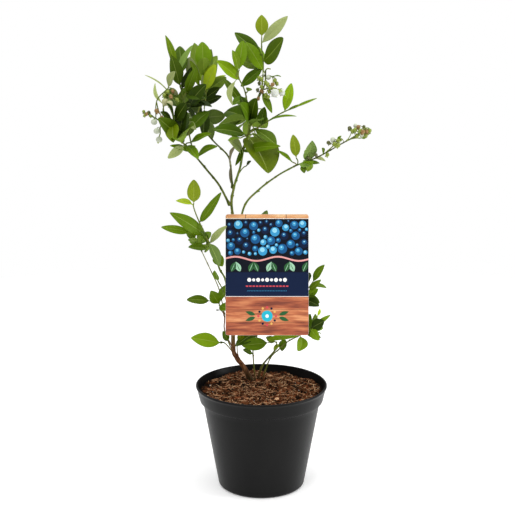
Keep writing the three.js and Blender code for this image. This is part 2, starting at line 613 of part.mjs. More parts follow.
// A mass's space is all that lies nearer to its own twigs, tip leaves and bells than to another's.
// A leaf that would leave it, or come too near a limb or an earlier leaf, is skipped.
function keptLeaves(mass, strangers, limbMarks) {
  const taken = [];
  return [...mass.leaves].sort((a, b) => b.last - a.last).filter((leaf) => {
    const points = leafSamples(leaf);
    const pastFoot = points.slice(2 * SAMPLE_COLUMNS.length);
    const blade = points.slice(3 * SAMPLE_COLUMNS.length);
    const inSpace = points.every((point) => (
      nearest(point, mass.marks) + MASS_CLEARANCE <= nearest(point, strangers)));
    const offLimbs = pastFoot.every((point) => (
      limbMarks.every(({ mark, radius }) => point.distanceTo(mark) >= radius + LIMB_CLEARANCE)));
    const offLeaves = blade.every((point) => nearest(point, taken) >= LEAF_CLEARANCE);
    if (!(inSpace && offLimbs && offLeaves)) return false;
    taken.push(...blade);
    return true;
  });
}

function massSolid({ twigs, leaves, blooms }) {
  const rods = twigs.map(({ route, footR }) => (
    toSolid(rod(route, footR, TWIG.tipRadius, TWIG_SIDES, route.curve.points.length - 1))));
  return largest(join([...rods, ...leaves.map(leafSolid), ...blooms.map(bloomSolid)])).simplify(SLIVER);
}

// ---- Pot, compost and label --------------------------------------------------------------------

const STEP = POT.height - POT.rimDepth;
const RIM_INSIDE = POT.rimRadius - POT.lip;

// A closed body turned round the pot's axis from [radius, height] points.
function lathe(profile) {
  const points = profile.map(([r, z]) => new THREE.Vector2(r, z));
  return toSolid(new THREE.LatheGeometry(points, POT.segments).rotateX(Math.PI / 2));
}

function potSolid() {
  const { height, rimRadius, rimRound, rimSlope, collarRadius, bodyRadius, baseRadius, edgeRadius } = POT;
  const { stepRise, toeInset, wall, lip, floor } = POT;
  const edge = new THREE.Path();
  edge.absarc(baseRadius - edgeRadius, edgeRadius, edgeRadius, -Math.PI / 2, 0, false);
  let pot = lathe([
    [0, 0],
    ...edge.getPoints(2).map(({ x, y }) => [x, y]),
    [bodyRadius, STEP - stepRise],
    [collarRadius, STEP],
    [rimRadius - rimRound, height - lip],
    [rimRadius, height - lip / 2],
    [rimRadius - rimRound, height],
    [RIM_INSIDE, height],
    [RIM_INSIDE - rimSlope, height - lip],
    [collarRadius - wall, STEP + wall],
    [bodyRadius - wall, STEP + wall - stepRise],
    [baseRadius - wall, edgeRadius],
    [baseRadius - wall - toeInset, floor],
    [0, floor],
  ]);
  for (let i = 0; i < DRAINS.count; i += 1) {
    const angle = (2 * Math.PI * i) / DRAINS.count;
    const drain = new THREE.CylinderGeometry(DRAINS.radius, DRAINS.radius, 4 * floor, DRAINS.sides);
    drain.rotateX(Math.PI / 2);
    drain.translate(DRAINS.ring * Math.cos(angle), DRAINS.ring * Math.sin(angle), 0);
    pot = pot.subtract(toSolid(drain));
  }
  return pot;
}

// Compost fills the pot to just under its rim, with a low flat-topped mound round the stems.
function compostSolid() {
  const { rimDepth, rimSlope, collarRadius, bodyRadius, baseRadius, edgeRadius } = POT;
  const { stepRise, toeInset, wall, floor } = POT;
  const { edgeHeight, middleHeight, edgeDrop, edgeWidth } = COMPOST;
  const inside = (r) => r - wall - GAP;
  const edge = mix(inside(collarRadius), RIM_INSIDE - rimSlope - GAP, (edgeHeight - STEP) / rimDepth);
  const fill = lathe([
    [0, floor + GAP],
    [inside(baseRadius) - toeInset, floor + GAP],
    [inside(baseRadius), edgeRadius],
    [inside(bodyRadius), STEP + wall - stepRise + GAP],
    [inside(collarRadius), STEP + wall + 1.5 * GAP],
    [edge - GAP, edgeHeight - edgeDrop],
    [edge - edgeWidth, edgeHeight],
    [0, middleHeight],
  ]);
  const mound = new THREE.CylinderGeometry(MOUND.flatRadius, MOUND.footRadius, MOUND.depth, MOUND.sides);
  mound.rotateX(Math.PI / 2).translate(MOUND.x, MOUND.y, MOUND.height - MOUND.depth / 2);
  return fill.add(toSolid(mound));
}

// The card hangs in front of the stems and leans back a little.
function placeOnCard(geometry) {
  return geometry.rotateX(Math.PI / 2 - radians(CARD.lean)).translate(...CARD.centre);
}

function cardSolid() {
  const { width, height, thickness, corner } = CARD;
  const outline = new THREE.Shape();
  const [w, h] = [width / 2 - corner, height / 2 - corner];
  outline.absarc(w, h, corner, 0, Math.PI / 2);
  outline.absarc(-w, h, corner, Math.PI / 2, Math.PI);
  outline.absarc(-w, -h, corner, Math.PI, 1.5 * Math.PI);
  outline.absarc(w, -h, corner, 1.5 * Math.PI, 2 * Math.PI);
  const cut = { depth: thickness, bevelEnabled: false, curveSegments: CARD.cornerSteps };
  const slab = new THREE.ExtrudeGeometry(outline, cut);
  return toSolid(placeOnCard(slab.translate(0, 0, -thickness)));
}

// A soft band round the main stem, with a short strap out to the back of the card.
function tieSolid() {
  const { height, thickness, width, strap, strapHeight, overrun, sides } = TIE;
  const { route: stem, footR, tipR } = limbs.main_stem;
  const places = stem.points(STEM_PLACES);
  const t = places.findIndex((point) => point.z > height) / (STEM_PLACES - 1);
  const middle = stem.at(t);
  const inner = mix(footR, tipR, t) + GAP;
  const outer = inner + thickness;
  const ringProfile = [[inner, -1], [outer, -1], [outer, 1], [inner, 1], [inner, -1]]
    .map(([r, end]) => new THREE.Vector2(r, (end * width) / 2));
  const ring = new THREE.LatheGeometry(ringProfile, sides);
  const stand = new THREE.Quaternion().setFromUnitVectors(Y, stem.along(t));
  ring.applyQuaternion(stand).translate(middle.x, middle.y, middle.z);
  const lean = radians(CARD.lean);
  const rise = height - CARD.centre[2];
  const backY = CARD.centre[1] + CARD.thickness / Math.cos(lean) + rise * Math.tan(lean);
  const front = middle.y - (inner + outer) / 2;
  const reach = new THREE.BoxGeometry(strap, front - backY + overrun, strapHeight);
  reach.translate(middle.x, (front + backY - overrun) / 2, height);
  const inFront = new THREE.BoxGeometry(CARD.width, CARD.height, CARD.thickness + 2 * GAP + KEEP_OUT_DEPTH);
  inFront.translate(0, 0, (KEEP_OUT_DEPTH - CARD.thickness) / 2);
  return largest(toSolid(ring).add(toSolid(reach)).subtract(toSolid(placeOnCard(inFront))));
}

// ---- Assembly --------------------------------------------------------------------------------

const COLOURS = {
  pot: [0x1d1e20, 0.42], compost: [0x4a3020, 0.95], card: [0x1f3c5e, 0.45], tie: [0x6f7f4a, 0.6],
  bark: [0x6f4b2c, 0.8], greenwood: [0x7d8b3f, 0.65], foliage: [0x56781f, 0.5],
};

function part(name, solid, [color, roughness]) {
  const material = new THREE.MeshStandardMaterial({ color, roughness, metalness: 0 });
  const mesh = new THREE.Mesh(toGeometry(solid), material);
  mesh.name = name;
  return mesh;
}

const group = new THREE.Group();
group.add(part('pot', potSolid(), COLOURS.pot));
group.add(part('compost', compostSolid(), COLOURS.compost));
group.add(part('label_card', cardSolid(), COLOURS.card));
group.add(part('label_tie', tieSolid(), COLOURS.tie));

const BARKED = ['main_stem', 'side_twig', 'dry_twig', 'right_low_stem', 'right_low_twig', 'mid_shoot'];
Object.entries(limbs).forEach(([name, limb]) => {
  group.add(part(name, limbSolid(limb), BARKED.includes(name) ? COLOURS.bark : COLOURS.greenwood));
});

const masses = Object.entries(MASSES).map(growMass);
const limbMarks = Object.values(limbs).flatMap(({ route, footR, tipR }) => (
  route.points(LIMB_MARKS).map((mark, i) => (
    { mark, radius: mix(footR, tipR, i / (LIMB_MARKS - 1)) }))));
masses.forEach((mass) => {
  const strangers = masses.filter((other) => other !== mass).flatMap((other) => other.marks);
  const leaves = keptLeaves(mass, strangers, limbMarks);
  group.add(part(mass.name, massSolid({ ...mass, leaves }), COLOURS.foliage));
});

export default group;
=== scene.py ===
"""A young highbush blueberry in a 2 litre nursery pot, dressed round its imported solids.

Tables and sizes are in millimetres, in the part's own frame: +Z up, the plant faces -Y. Each
mesh is scaled to metres as it is made. Only the floor and the lights are placed in metres.
"""

import itertools
import math
from types import SimpleNamespace as Named

import bmesh
import bpy
import numpy as np
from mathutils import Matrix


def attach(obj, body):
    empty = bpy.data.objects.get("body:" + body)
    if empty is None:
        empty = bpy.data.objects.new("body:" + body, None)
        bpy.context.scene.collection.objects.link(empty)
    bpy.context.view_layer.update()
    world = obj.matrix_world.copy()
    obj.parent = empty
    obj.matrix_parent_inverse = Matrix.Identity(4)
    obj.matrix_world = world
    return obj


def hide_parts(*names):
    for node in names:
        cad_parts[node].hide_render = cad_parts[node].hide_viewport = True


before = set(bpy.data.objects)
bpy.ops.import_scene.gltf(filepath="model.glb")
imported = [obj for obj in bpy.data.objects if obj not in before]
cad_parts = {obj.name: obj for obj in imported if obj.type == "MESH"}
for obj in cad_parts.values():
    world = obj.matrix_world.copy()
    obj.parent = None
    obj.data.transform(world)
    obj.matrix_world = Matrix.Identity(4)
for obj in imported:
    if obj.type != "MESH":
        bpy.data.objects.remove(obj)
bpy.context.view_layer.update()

MM = 0.001
X, Y, Z = np.eye(3)
# A little over a full turn in radians, for random angles.
ANY_ANGLE = 6.3


# ---- Sizes shared with the solids ------------------------------------------------------------

POT = Named(height=136, rim_radius=85, rim_depth=20.7, collar_radius=79.8, body_radius=76.1,
            base_radius=56.7, edge_radius=5, step_rise=0.8, rim_slope=0.4, toe_inset=2, wall=1.7,
            lip=2.4, floor=2.4)
DRAINS = Named(count=6, radius=4.5, ring=42)
GAP = 0.3
COMPOST = Named(edge_height=129.5, middle_height=131)
MOUND = Named(x=-6, y=36, height=130.6, flat_radius=13, foot_radius=40, depth=8)
GROUND = MOUND.height + GAP
CARD = Named(width=104.4, height=152.2, thickness=0.8, lean=12.3, centre=(7, -17, 285))
TIE = Named(height=346, thickness=1.4, width=4, strap=4, strap_height=3.2)

SPIRAL = Named(turn=137.5, jitter=25, first=0.12, spread=0.86, early=0.2, late=0.8)
PITCH = Named(foot=66, loss=24, jitter=16)
LEAF_LENGTH = Named(ends=0.78, middle_gain=0.24, least=0.82, most=1.14)
LEAF_WIDTH = Named(least=0.85, most=1.15)
LEAF_FORM = Named(peak=0.9, taper=0.85, tip_loss=0.12)
TIP_LEAF = Named(overlap=1.04, least=0.92, most=1.08, sway=0.5, out=0.75, up=0.6, carrier=0.2)
BEND = Named(curl_least=6, curl_most=46, fold_least=8, fold_most=26, roll=28)
LIGHT_PULL = Named(up=0.55, out=0.35)
BACK_Y = 40
USUAL_SLIM = 0.58
MASS_CLEARANCE = 2.5
LIMB_CLEARANCE = 1.5
LEAF_CLEARANCE = 1.5
LIMB_MARKS = 60
TWIG_MARKS = 9
ROOT_FLARE = Named(extra=0.4, reach=0.05, sunk=4)
TWIG = Named(side_share=0.75, bow=0.16, shortest=0.08)
STEM_SHORTEST = 0.15
FOOT_RIM = 1.1
SESSILE = 0.8
BELL = Named(half_length=4.1, droop=4, nearest=4, furthest=8, least=0.8, most=1.1, first=0.3)


def ground(x, y):
    """The foot of a stem that comes out of the compost."""
    return (x, y, GROUND - ROOT_FLARE.sunk)


def limb(start, foot_radius, tip_radius, way):
    """A stem or bough, from the ground or from (limb, share of its length), 1 being its tip."""
    return Named(start=start, foot_radius=foot_radius, tip_radius=tip_radius, way=way)


def look(tone=None, wide=1, bow=0):
    """A tip leaf's own tone, share of the rule's width (0 leaves it out) and sideways bow in mm."""
    return Named(tone=tone, wide=wide, bow=bow)


def shoot(at, tip, size, tone="mid", slim=USUAL_SLIM, leaves=1, blooms=0, bell=1, end=look()):
    """A shoot that leaves a stem at a share of its length and reaches a tip.

    size is a leaf's length, slim its width as a share of that, and bell the size of its blooms.
    """
    return Named(at=at, tip=np.array(tip, float), size=size, tone=tone, slim=slim, leaves=leaves,
                 blooms=blooms, bell=bell, end=end)


def mass(start, way, tip, seed, leaves, size, shoots, tone="mid", slim=USUAL_SLIM, radius=1, end=look()):
    """A mass of foliage: its stem's start, way, furthest tip and radius, its leaves and shoots."""
    return Named(start=start, way=way, tip=np.array(tip, float), seed=seed, leaves=leaves, size=size,
                 shoots=shoots, tone=tone, slim=slim, radius=radius, end=end)


# ---- The plant: limbs and masses as in the part's source, then what is finer -------------------

LIMBS = {
    "main_stem": limb(ground(-13, 40), 3.2, 1.6, [
        (-24, 36, 148), (-33, 34, 161), (-37, 30, 179), (-36, 22, 256), (-34, 16, 329), (-38, 12, 371),
        (-34, 10, 395)]),
    "left_bough": limb(("main_stem", 0.855), 1.5, 1.1, [(-53, 0, 396), (-68, -10, 417), (-90, -26, 447)]),
    "upper_left_bough": limb(("main_stem", 0.975), 1.3, 0.9, [
        (-39, 18, 418), (-43, 22, 431), (-60, 30, 447), (-81, 38, 469)]),
    "upper_right_bough": limb(("main_stem", 1), 1.5, 0.9, [
        (-27, 4, 417), (-23, 0, 438), (-17, -4, 460), (-11, -7, 490), (0, -9, 516)]),
    "right_bough": limb(("main_stem", 0.7), 1.5, 1, [
        (-22, 8, 367), (-4, -2, 390), (20, -12, 410), (41, -20, 423)]),
    "low_left_stem": limb(("main_stem", 0.48), 1.4, 1.2, [(-45, 4, 268), (-53, -3, 289), (-58, -8, 307)]),
    "side_twig": limb(("main_stem", 0.26), 1, 0.8, [(-47, 20, 198), (-48, 20, 220), (-52, 20, 230)]),
    "dry_twig": limb(("side_twig", 0.75), 0.8, 0.6, [(-55, 30, 254), (-66, 34, 279), (-78, 36, 305)]),
    "mid_shoot": limb(ground(-8, 33), 1, 0.8, [(-11, 31, 169), (-8, 27, 183), (-6, 22, 194)]),
    "right_low_stem": limb(ground(-5, 42), 1.4, 1, [
        (2, 38, 149), (15, 30, 168), (28, 24, 188), (46, 20, 223), (54, 16, 244)]),
    "right_low_twig": limb(ground(0, 30), 0.9, 0.8, [
        (11, 16, 164), (23, 8, 180), (34, 2, 192), (47, -4, 201)]),
    "back_stem": limb(("main_stem", 0.52), 1.3, 1, [(-20, 40, 285), (-10, 50, 303)]),
}

MASSES = {
    "top_sprig": mass(("upper_right_bough", 1), [(2, -10, 544), (0, -12, 565)], (0, -14, 604),
        seed=174, leaves=2, size=26, tone="fresh", end=look("bright", 1.15), shoots=[
            shoot(0.8, (30, -24, 602), 40, "pale", 0.3),
            shoot(0.4, (25, -34, 576), 46, slim=0.6, end=look("moss", 1.25, 3)),
            shoot(0.5, (-32, 2, 582), 40, "deep", 0.42),
            shoot(0.25, (-16, 26, 570), 42, slim=0.62, leaves=2),
            shoot(0.3, (-25, -2, 520), 34, "deep", 0.4),
            shoot(0.2, (27, 42, 549), 38, leaves=4, end=look(wide=0)),
        ]),
    "blossom_twig": mass(("upper_right_bough", 0.86), [(3, -20, 520)], (5, -24, 540),
        seed=162, leaves=0, size=16, radius=0.9, shoots=[
            shoot(0.4, (25, -36, 515), 12, "pale", 0.4, blooms=6),
            shoot(0.8, (23, -32, 532), 12, slim=0.4, blooms=5),
        ]),
    "upper_sprig": mass(("upper_right_bough", 0.74), [(-20, -22, 513), (-27, -26, 529)], (-35, -28, 563),
        seed=102, leaves=1, size=26, tone="olive", end=look("fresh", 0.9), shoots=[
            shoot(0.8, (-22, -20, 573), 34, "fresh", leaves=2, end=look("mid", 0.75)),
            shoot(0.62, (-53, -32, 550), 36, "fresh", end=look("fresh", 0.9)),
            shoot(0.05, (-47, -6, 530), 46, "fresh", 0.38, leaves=2, end=look("mid", 0.6)),
            shoot(0.25, (-34, -36, 499), 24, "deep", 0.62), shoot(0.3, (-14, -40, 519), 14),
        ]),
    "centre_back": mass(("upper_right_bough", 0.66), [(-13, 26, 487)], (-4, 60, 518),
        seed=222, leaves=5, size=42, shoots=[
            shoot(0.2, (-45, 52, 483), 42, "deep", leaves=4), shoot(0.4, (29, 66, 494), 40, leaves=4),
            shoot(0.1, (1, 68, 437), 42, leaves=5), shoot(0.3, (-33, 50, 447), 38, leaves=3),
        ]),
    "centre_front": mass(("upper_right_bough", 0.56), [(-14, -22, 470)], (-7, -44, 507),
        seed=147, leaves=3, size=36, tone="deep", slim=0.52, shoots=[
            shoot(0.1, (8, -40, 418), 57, slim=0.62, end=look("olive", 1.5)),
            shoot(0.15, (-58, -34, 469), 46, "deep", 0.42, leaves=2),
            shoot(0.2, (22, -62, 451), 36, end=look(wide=0)),
            shoot(0.1, (-40, -46, 457), 28, "pale", end=look("fresh", 0.8, -4)),
            shoot(0.3, (17, -66, 481), 40, leaves=3, end=look(wide=0)),
            shoot(0.5, (-26, -60, 502), 40, "deep", leaves=2),
            shoot(0.05, (-15, -26, 427), 20, end=look(wide=0)),
        ]),
    "right_spray": mass(("upper_right_bough", 0.62), [(8, -10, 477), (24, -14, 487)], (66, -22, 506),
        seed=96, leaves=1, size=30, tone="pale", slim=0.26, end=look("fresh", 0.5), shoots=[
            shoot(0.75, (36, -10, 522), 28, "fresh", 0.48, end=look("fresh", 0.8)),
            shoot(0.4, (42, -24, 484), 32, "pale", 0.28, end=look("mid", 0.45)),
            shoot(0.5, (28, 14, 469), 30, slim=0.4, leaves=2),
        ]),
    "left_back": mass(("upper_left_bough", 1), [(-78, 38, 495), (-72, 34, 512)], (-58, 30, 543),
        seed=295, leaves=3, size=38, tone="bright", slim=0.6, shoots=[
            shoot(0.6, (-75, 42, 570), 36, "fresh", 0.62, leaves=3, end=look("mid")),
            shoot(0.5, (-89, 20, 553), 36, "pale", 0.52, leaves=2),
            shoot(0.55, (-47, 26, 528), 34, slim=0.42), shoot(0.3, (-51, 40, 503), 34, "dark", 0.42),
            shoot(0.3, (-85, 64, 568), 38, leaves=4), shoot(0.4, (-57, 70, 552), 42, leaves=4),
            shoot(0.2, (-64, 84, 506), 42, "dark", leaves=4),
            shoot(0.1, (-60, 94, 463), 38, "dark", leaves=4),
            shoot(0.1, (-106, 76, 470), 40, "dark", leaves=3),
        ]),
    "left_top": mass(("left_bough", 0.92), [(-93, -6, 480), (-98, 2, 512)], (-117, 6, 579),
        seed=119, leaves=5, size=40, slim=0.45, end=look("fresh", 0.6), shoots=[
            shoot(0.6, (-109, -16, 556), 40, leaves=2, end=look("moss", 0.8)),
            shoot(0.55, (-80, -24, 542), 38, "deep", 0.52, leaves=3, end=look("mid", 0.6)),
            shoot(0.5, (-102, 30, 565), 36, leaves=3, end=look("deep")),
            shoot(0.2, (-64, -10, 488), 38, "deep", 0.55, leaves=3),
            shoot(0.4, (-67, -30, 523), 38, "dark", 0.55, leaves=3),
            shoot(0.3, (-118, 44, 511), 38, "deep", 0.52, leaves=4),
        ]),
    "left_low": mass(("left_bough", 1), [(-99, -32, 457), (-106, -38, 475)], (-90, -56, 502),
        seed=14, leaves=2, size=40, tone="dark", slim=0.55, shoots=[
            shoot(0.3, (-122, -56, 485), 40, leaves=2),
            shoot(0.6, (-120, -40, 490), 30, "fresh", 0.4, leaves=2),
            shoot(0.1, (-113, -44, 436), 28, "pale", 0.4, leaves=2),
            shoot(0.2, (-80, -66, 477), 46, slim=0.62, leaves=2),
            shoot(0.02, (-53, -30, 449), 28, slim=0.42, end=look("mid", 1, 5)),
            shoot(0.05, (-76, -54, 436), 30, slim=0.4),
            shoot(0.1, (-61, -48, 465), 32, leaves=2, end=look("mid", 0.55)),
            shoot(0.1, (-100, -84, 462), 36, leaves=3),
        ]),
    "left_bloom": mass(("left_bough", 0.97), [(-108, -12, 461), (-125, -10, 477)], (-146, -10, 489),
        seed=232, leaves=0, size=18, radius=0.9, shoots=[
            shoot(0.6, (-127, -16, 450), 12, "pale", 0.4, blooms=4),
            shoot(0.75, (-145, -16, 493), 9, "pale", 0.4, blooms=5, bell=0.7, end=look(wide=0)),
            shoot(0.5, (-115, -30, 516), 14, "fresh", 0.4, blooms=6),
            shoot(0.45, (-144, 4, 531), 36, "pale", 0.3, leaves=2, end=look("pale", 0.3)),
            shoot(0.4, (-130, -24, 521), 34, "pale", 0.4),
        ]),
    "right_arm": mass(("right_bough", 1), [(69, -26, 435), (101, -32, 454)], (132, -36, 469),
        seed=246, leaves=3, size=18, tone="pale", radius=0.9, shoots=[
            shoot(0.03, (38, -14, 460), 28, "bright", 0.48), shoot(0.16, (61, -34, 455), 30, "dull", 0.66),
            shoot(0.02, (19, -26, 442), 24, slim=0.3), shoot(0.1, (52, -32, 416), 22, leaves=3),
            shoot(0.12, (75, -8, 444), 20, "fresh", 0.62, leaves=3),
            shoot(0.42, (96, -38, 462), 9, slim=0.4, blooms=5, bell=0.7),
            shoot(0.74, (132, -44, 477), 9, slim=0.4, blooms=6, bell=0.65, end=look(wide=0)),
            shoot(0.8, (127, -24, 458), 9, slim=0.4, blooms=4, bell=0.65),
            shoot(0.15, (63, 10, 439), 26, "fresh", leaves=3),
        ]),
    "low_left": mass(
        ("low_left_stem", 1), [(-67, -14, 329), (-79, -20, 357), (-84, -22, 372)], (-83, -22, 406),
        seed=195, leaves=2, size=30, tone="fresh", slim=0.52, end=look("bright", 1.1), shoots=[
            shoot(0.85, (-106, -16, 379), 26, slim=0.32, end=look("bright", 1.6)),
            shoot(0.6, (-50, -28, 392), 42, "pale", 0.42, end=look(wide=0)),
            shoot(0.45, (-113, -34, 366), 42, "fresh", 0.48, end=look(wide=0)),
            shoot(0.3, (-124, -20, 347), 36, slim=0.3),
            shoot(0.2, (-43, -30, 349), 32, "pale", end=look("pale", 0.5)),
            shoot(0.02, (-49, -26, 298), 30, "fresh", 0.6),
            shoot(0.4, (-73, 12, 357), 30, "fresh", 0.52, leaves=4),
            shoot(0.1, (-91, -14, 320), 24, leaves=2),
        ]),
    "dry_tip": mass(("dry_twig", 1), [(-84, 38, 313)], (-97, 36, 337),
        seed=94, leaves=3, size=24, radius=0.7, shoots=[
            shoot(0.3, (-67, 56, 325), 26, slim=0.52, leaves=3),
        ]),
    "side_pair": mass(("side_twig", 1), [(-57, 12, 243)], (-95, 0, 248),
        seed=126, leaves=1, size=30, slim=0.42, radius=0.8, shoots=[
            shoot(0.3, (-46, 22, 262), 34, leaves=3), shoot(0.2, (-67, 0, 236), 26, "fresh", leaves=2),
        ]),
    "foot_leaves": mass(("main_stem", 0.17), [(-46, 14, 185)], (-90, 4, 196),
        seed=101, leaves=1, size=39, tone="fresh", slim=0.42, radius=0.8, end=look("fresh", 1.15), shoots=[
            shoot(0.2, (-50, 12, 203), 18, "deep", 0.52), shoot(0.1, (-27, -6, 208), 18, "olive"),
        ]),
    "mid_low": mass(("mid_shoot", 1), [(-3, 16, 206)], (1, 8, 251),
        seed=162, leaves=4, size=30, slim=0.46, radius=0.8, shoots=[
            shoot(0.1, (-27, 24, 174), 28, "deep", leaves=2, end=look(wide=0)),
            shoot(0.2, (14, 2, 221), 26, "deep", leaves=2), shoot(0.4, (-23, 24, 226), 30, leaves=3),
        ]),
    "right_low": mass(("right_low_stem", 0.47), [(20, 14, 187)], (6, -2, 199),
        seed=150, leaves=1, size=24, tone="olive", slim=0.46, radius=0.8, shoots=[
            shoot(0.4, (30, 18, 172), 20, slim=0.62, end=look(wide=0)),
        ]),
    "right_tip": mass(("right_low_twig", 1), [(57, -8, 208)], (87, -16, 232),
        seed=124, leaves=3, size=26, slim=0.4, radius=0.8, end=look("fresh", 0.65), shoots=[
            shoot(0.1, (48, -6, 182), 22, "fresh", end=look("fresh", 1.5, -3)),
            shoot(0.3, (62, -6, 231), 30, "deep"), shoot(0.5, (75, -14, 202), 22, slim=0.4),
            shoot(0.3, (79, 22, 207), 26, slim=0.52, leaves=3),
        ]),
    "right_mid": mass(("right_low_stem", 1), [(59, 12, 258)], (80, 6, 292),
        seed=195, leaves=3, size=28, slim=0.42, radius=0.8, shoots=[
            shoot(0.3, (75, -6, 276), 28, "fresh", 0.35), shoot(0.1, (74, 0, 244), 24, leaves=2),
            shoot(0.3, (48, 34, 290), 30, "dark", leaves=3),
        ]),
    # The leaves behind the stems, all in the dark tone: partly painted shade.
    "back_mass": mass(("back_stem", 1), [(-3, 56, 319)], (7, 64, 352),
        seed=209, leaves=3, size=30, tone="dark", slim=0.5, shoots=[
            shoot(0.2, (44, 84, 304), 34, "dark", leaves=4),
            shoot(0.3, (-47, 92, 310), 34, "dark", leaves=4),
            shoot(0.1, (1, 94, 241), 34, "dark", leaves=4),
            shoot(0.5, (-18, 84, 328), 30, "deep", leaves=2),
        ]),
}

# Finer shoots that grow on from the masses' stems by the same rule.
FINER_SHOOTS = {
    "left_top": [
        shoot(0.9, (-83, -16, 567), 45, "dull", 0.3), shoot(0.7, (-86, -14, 542), 34, "dark", 0.36),
        shoot(0.55, (-97, -44, 460), 48, "dark", 0.37), shoot(0, (-110, -38, 450), 32, slim=0.38),
        shoot(0.35, (-79, -34, 469), 21, "pale", 0.4), shoot(0.5, (-69, -18, 498), 32, "dark", 0.39),
        shoot(0.6, (-88, 10, 520), 32, "dark", leaves=3, end=look(wide=0)),
        shoot(0.5, (-82, 12, 472), 31, "dark", 0.44), shoot(0.55, (-142, -8, 532), 32, "pale", 0.11),
    ],
    "left_back": [
        shoot(0.35, (-63, 44, 561), 37, "deep", 0.44), shoot(0.5, (-88, 4, 548), 40, "fresh", 0.3),
        shoot(0.3, (-95, -20, 515), 40, slim=0.12), shoot(0.8, (-73, 8, 457), 35, "dark", 0.47),
        shoot(0.4, (-90, 14, 508), 28, "dark", 0.48), shoot(0.35, (-52, 16, 515), 29, "dark", 0.47),
        shoot(0.35, (-57, 12, 543), 38, "bright", 0.43),
    ],
    "left_bloom": [
        shoot(0.75, (-104, -30, 538), 23, "pale", 0.66),
        shoot(0.3, (-129, -18, 523), 26, "pale", 0.18, end=look(bow=-4)),
    ],
    "left_low": [
        shoot(0.8, (-105, -62, 457), 30, "olive"), shoot(0.3, (-90, -50, 500), 49, "dark", 0.42),
        shoot(1, (-120, -54, 492), 19, "dark", 0.44),
    ],
    "upper_sprig": [shoot(1, (-35, -34, 499), 30, "pale", 0.24, end=look(bow=6))],
    "blossom_twig": [shoot(0.35, (12, -32, 489), 31, slim=0.3)],
    "right_spray": [
        shoot(0.2, (3, -22, 495), 24, "deep", 0.46), shoot(0.8, (50, -16, 498), 22, slim=0.17),
        shoot(0.35, (42, -24, 484), 36, slim=0.13),
    ],
    "centre_front": [
        shoot(1, (-26, -36, 509), 37, "dark", 0.44), shoot(0, (-32, -34, 426), 26, "deep", 0.3),
    ],
    "foot_leaves": [shoot(0.55, (-55, 4, 190), 14, "dark", 0.3)],
    "right_arm": [
        shoot(0.05, (59, -30, 424), 18, "dull", 0.5), shoot(0.15, (70, -34, 428), 20, slim=0.28),
        shoot(0.4, (73, -34, 447), 11, slim=0.6),
    ],
    "low_left": [
        shoot(0, (-75, -32, 343), 23, "deep", 0.47), shoot(0.5, (-53, -32, 300), 32, "dull", 0.6),
        shoot(0.45, (-50, -28, 391), 48, slim=0.25, end=look(bow=3)),
        shoot(0.3, (-112, -34, 366), 56, slim=0.31),
    ],
    "right_mid": [shoot(0, (73, -8, 242), 25, "dark", 0.55)],
    "right_tip": [
        shoot(1, (74, -14, 240), 12, "bright", 0.41), shoot(0.8, (79, -18, 225), 18, "dark", 0.7),
        shoot(0.8, (73, -22, 201), 20, "fresh", 0.62), shoot(0.1, (8, -12, 198), 42, "fresh", 0.26),
    ],
    "side_pair": [shoot(0.3, (-64, 0, 260), 27, slim=0.6)],
    "right_low": [shoot(1, (-24, 0, 187), 34, slim=0.5)],
    "top_sprig": [shoot(0.25, (-19, -8, 571), 39, slim=0.45)],
    "mid_low": [shoot(0.25, (-33, 0, 187), 37, "deep", 0.48)],
}

# Finer shoots straight from some limbs.
LIMB_SHOOTS = {
    "upper_left_bough": [
        shoot(0.25, (-32, -6, 445), 30, "withered", 0.38), shoot(0.25, (-39, 0, 399), 26, "withered", 0.13),
    ],
    "upper_right_bough": [
        shoot(0.4, (21, -62, 451), 77, slim=0.17), shoot(0.4, (-11, -30, 463), 16, "pale", 0.35),
        shoot(0.12, (-13, -12, 428), 11, "dark", 0.5), shoot(0.4, (-40, -34, 456), 34, "pale", 0.52),
    ],
    "left_bough": [shoot(0.85, (-54, -35, 448), 34, slim=0.34, end=look(bow=-3))],
    "low_left_stem": [shoot(0.1, (-59, -16, 290), 18, slim=0.55)],
    "side_twig": [shoot(0.9, (-57, 6, 232), 15, "dark", 0.6)],
    "mid_shoot": [shoot(0.3, (-24, 22, 175), 18, "deep", 0.52)],
    "right_low_stem": [
        shoot(0.65, (27, 14, 176), 18, slim=0.66), shoot(0.55, (16, 14, 177), 15, "bright", 0.46),
    ],
}

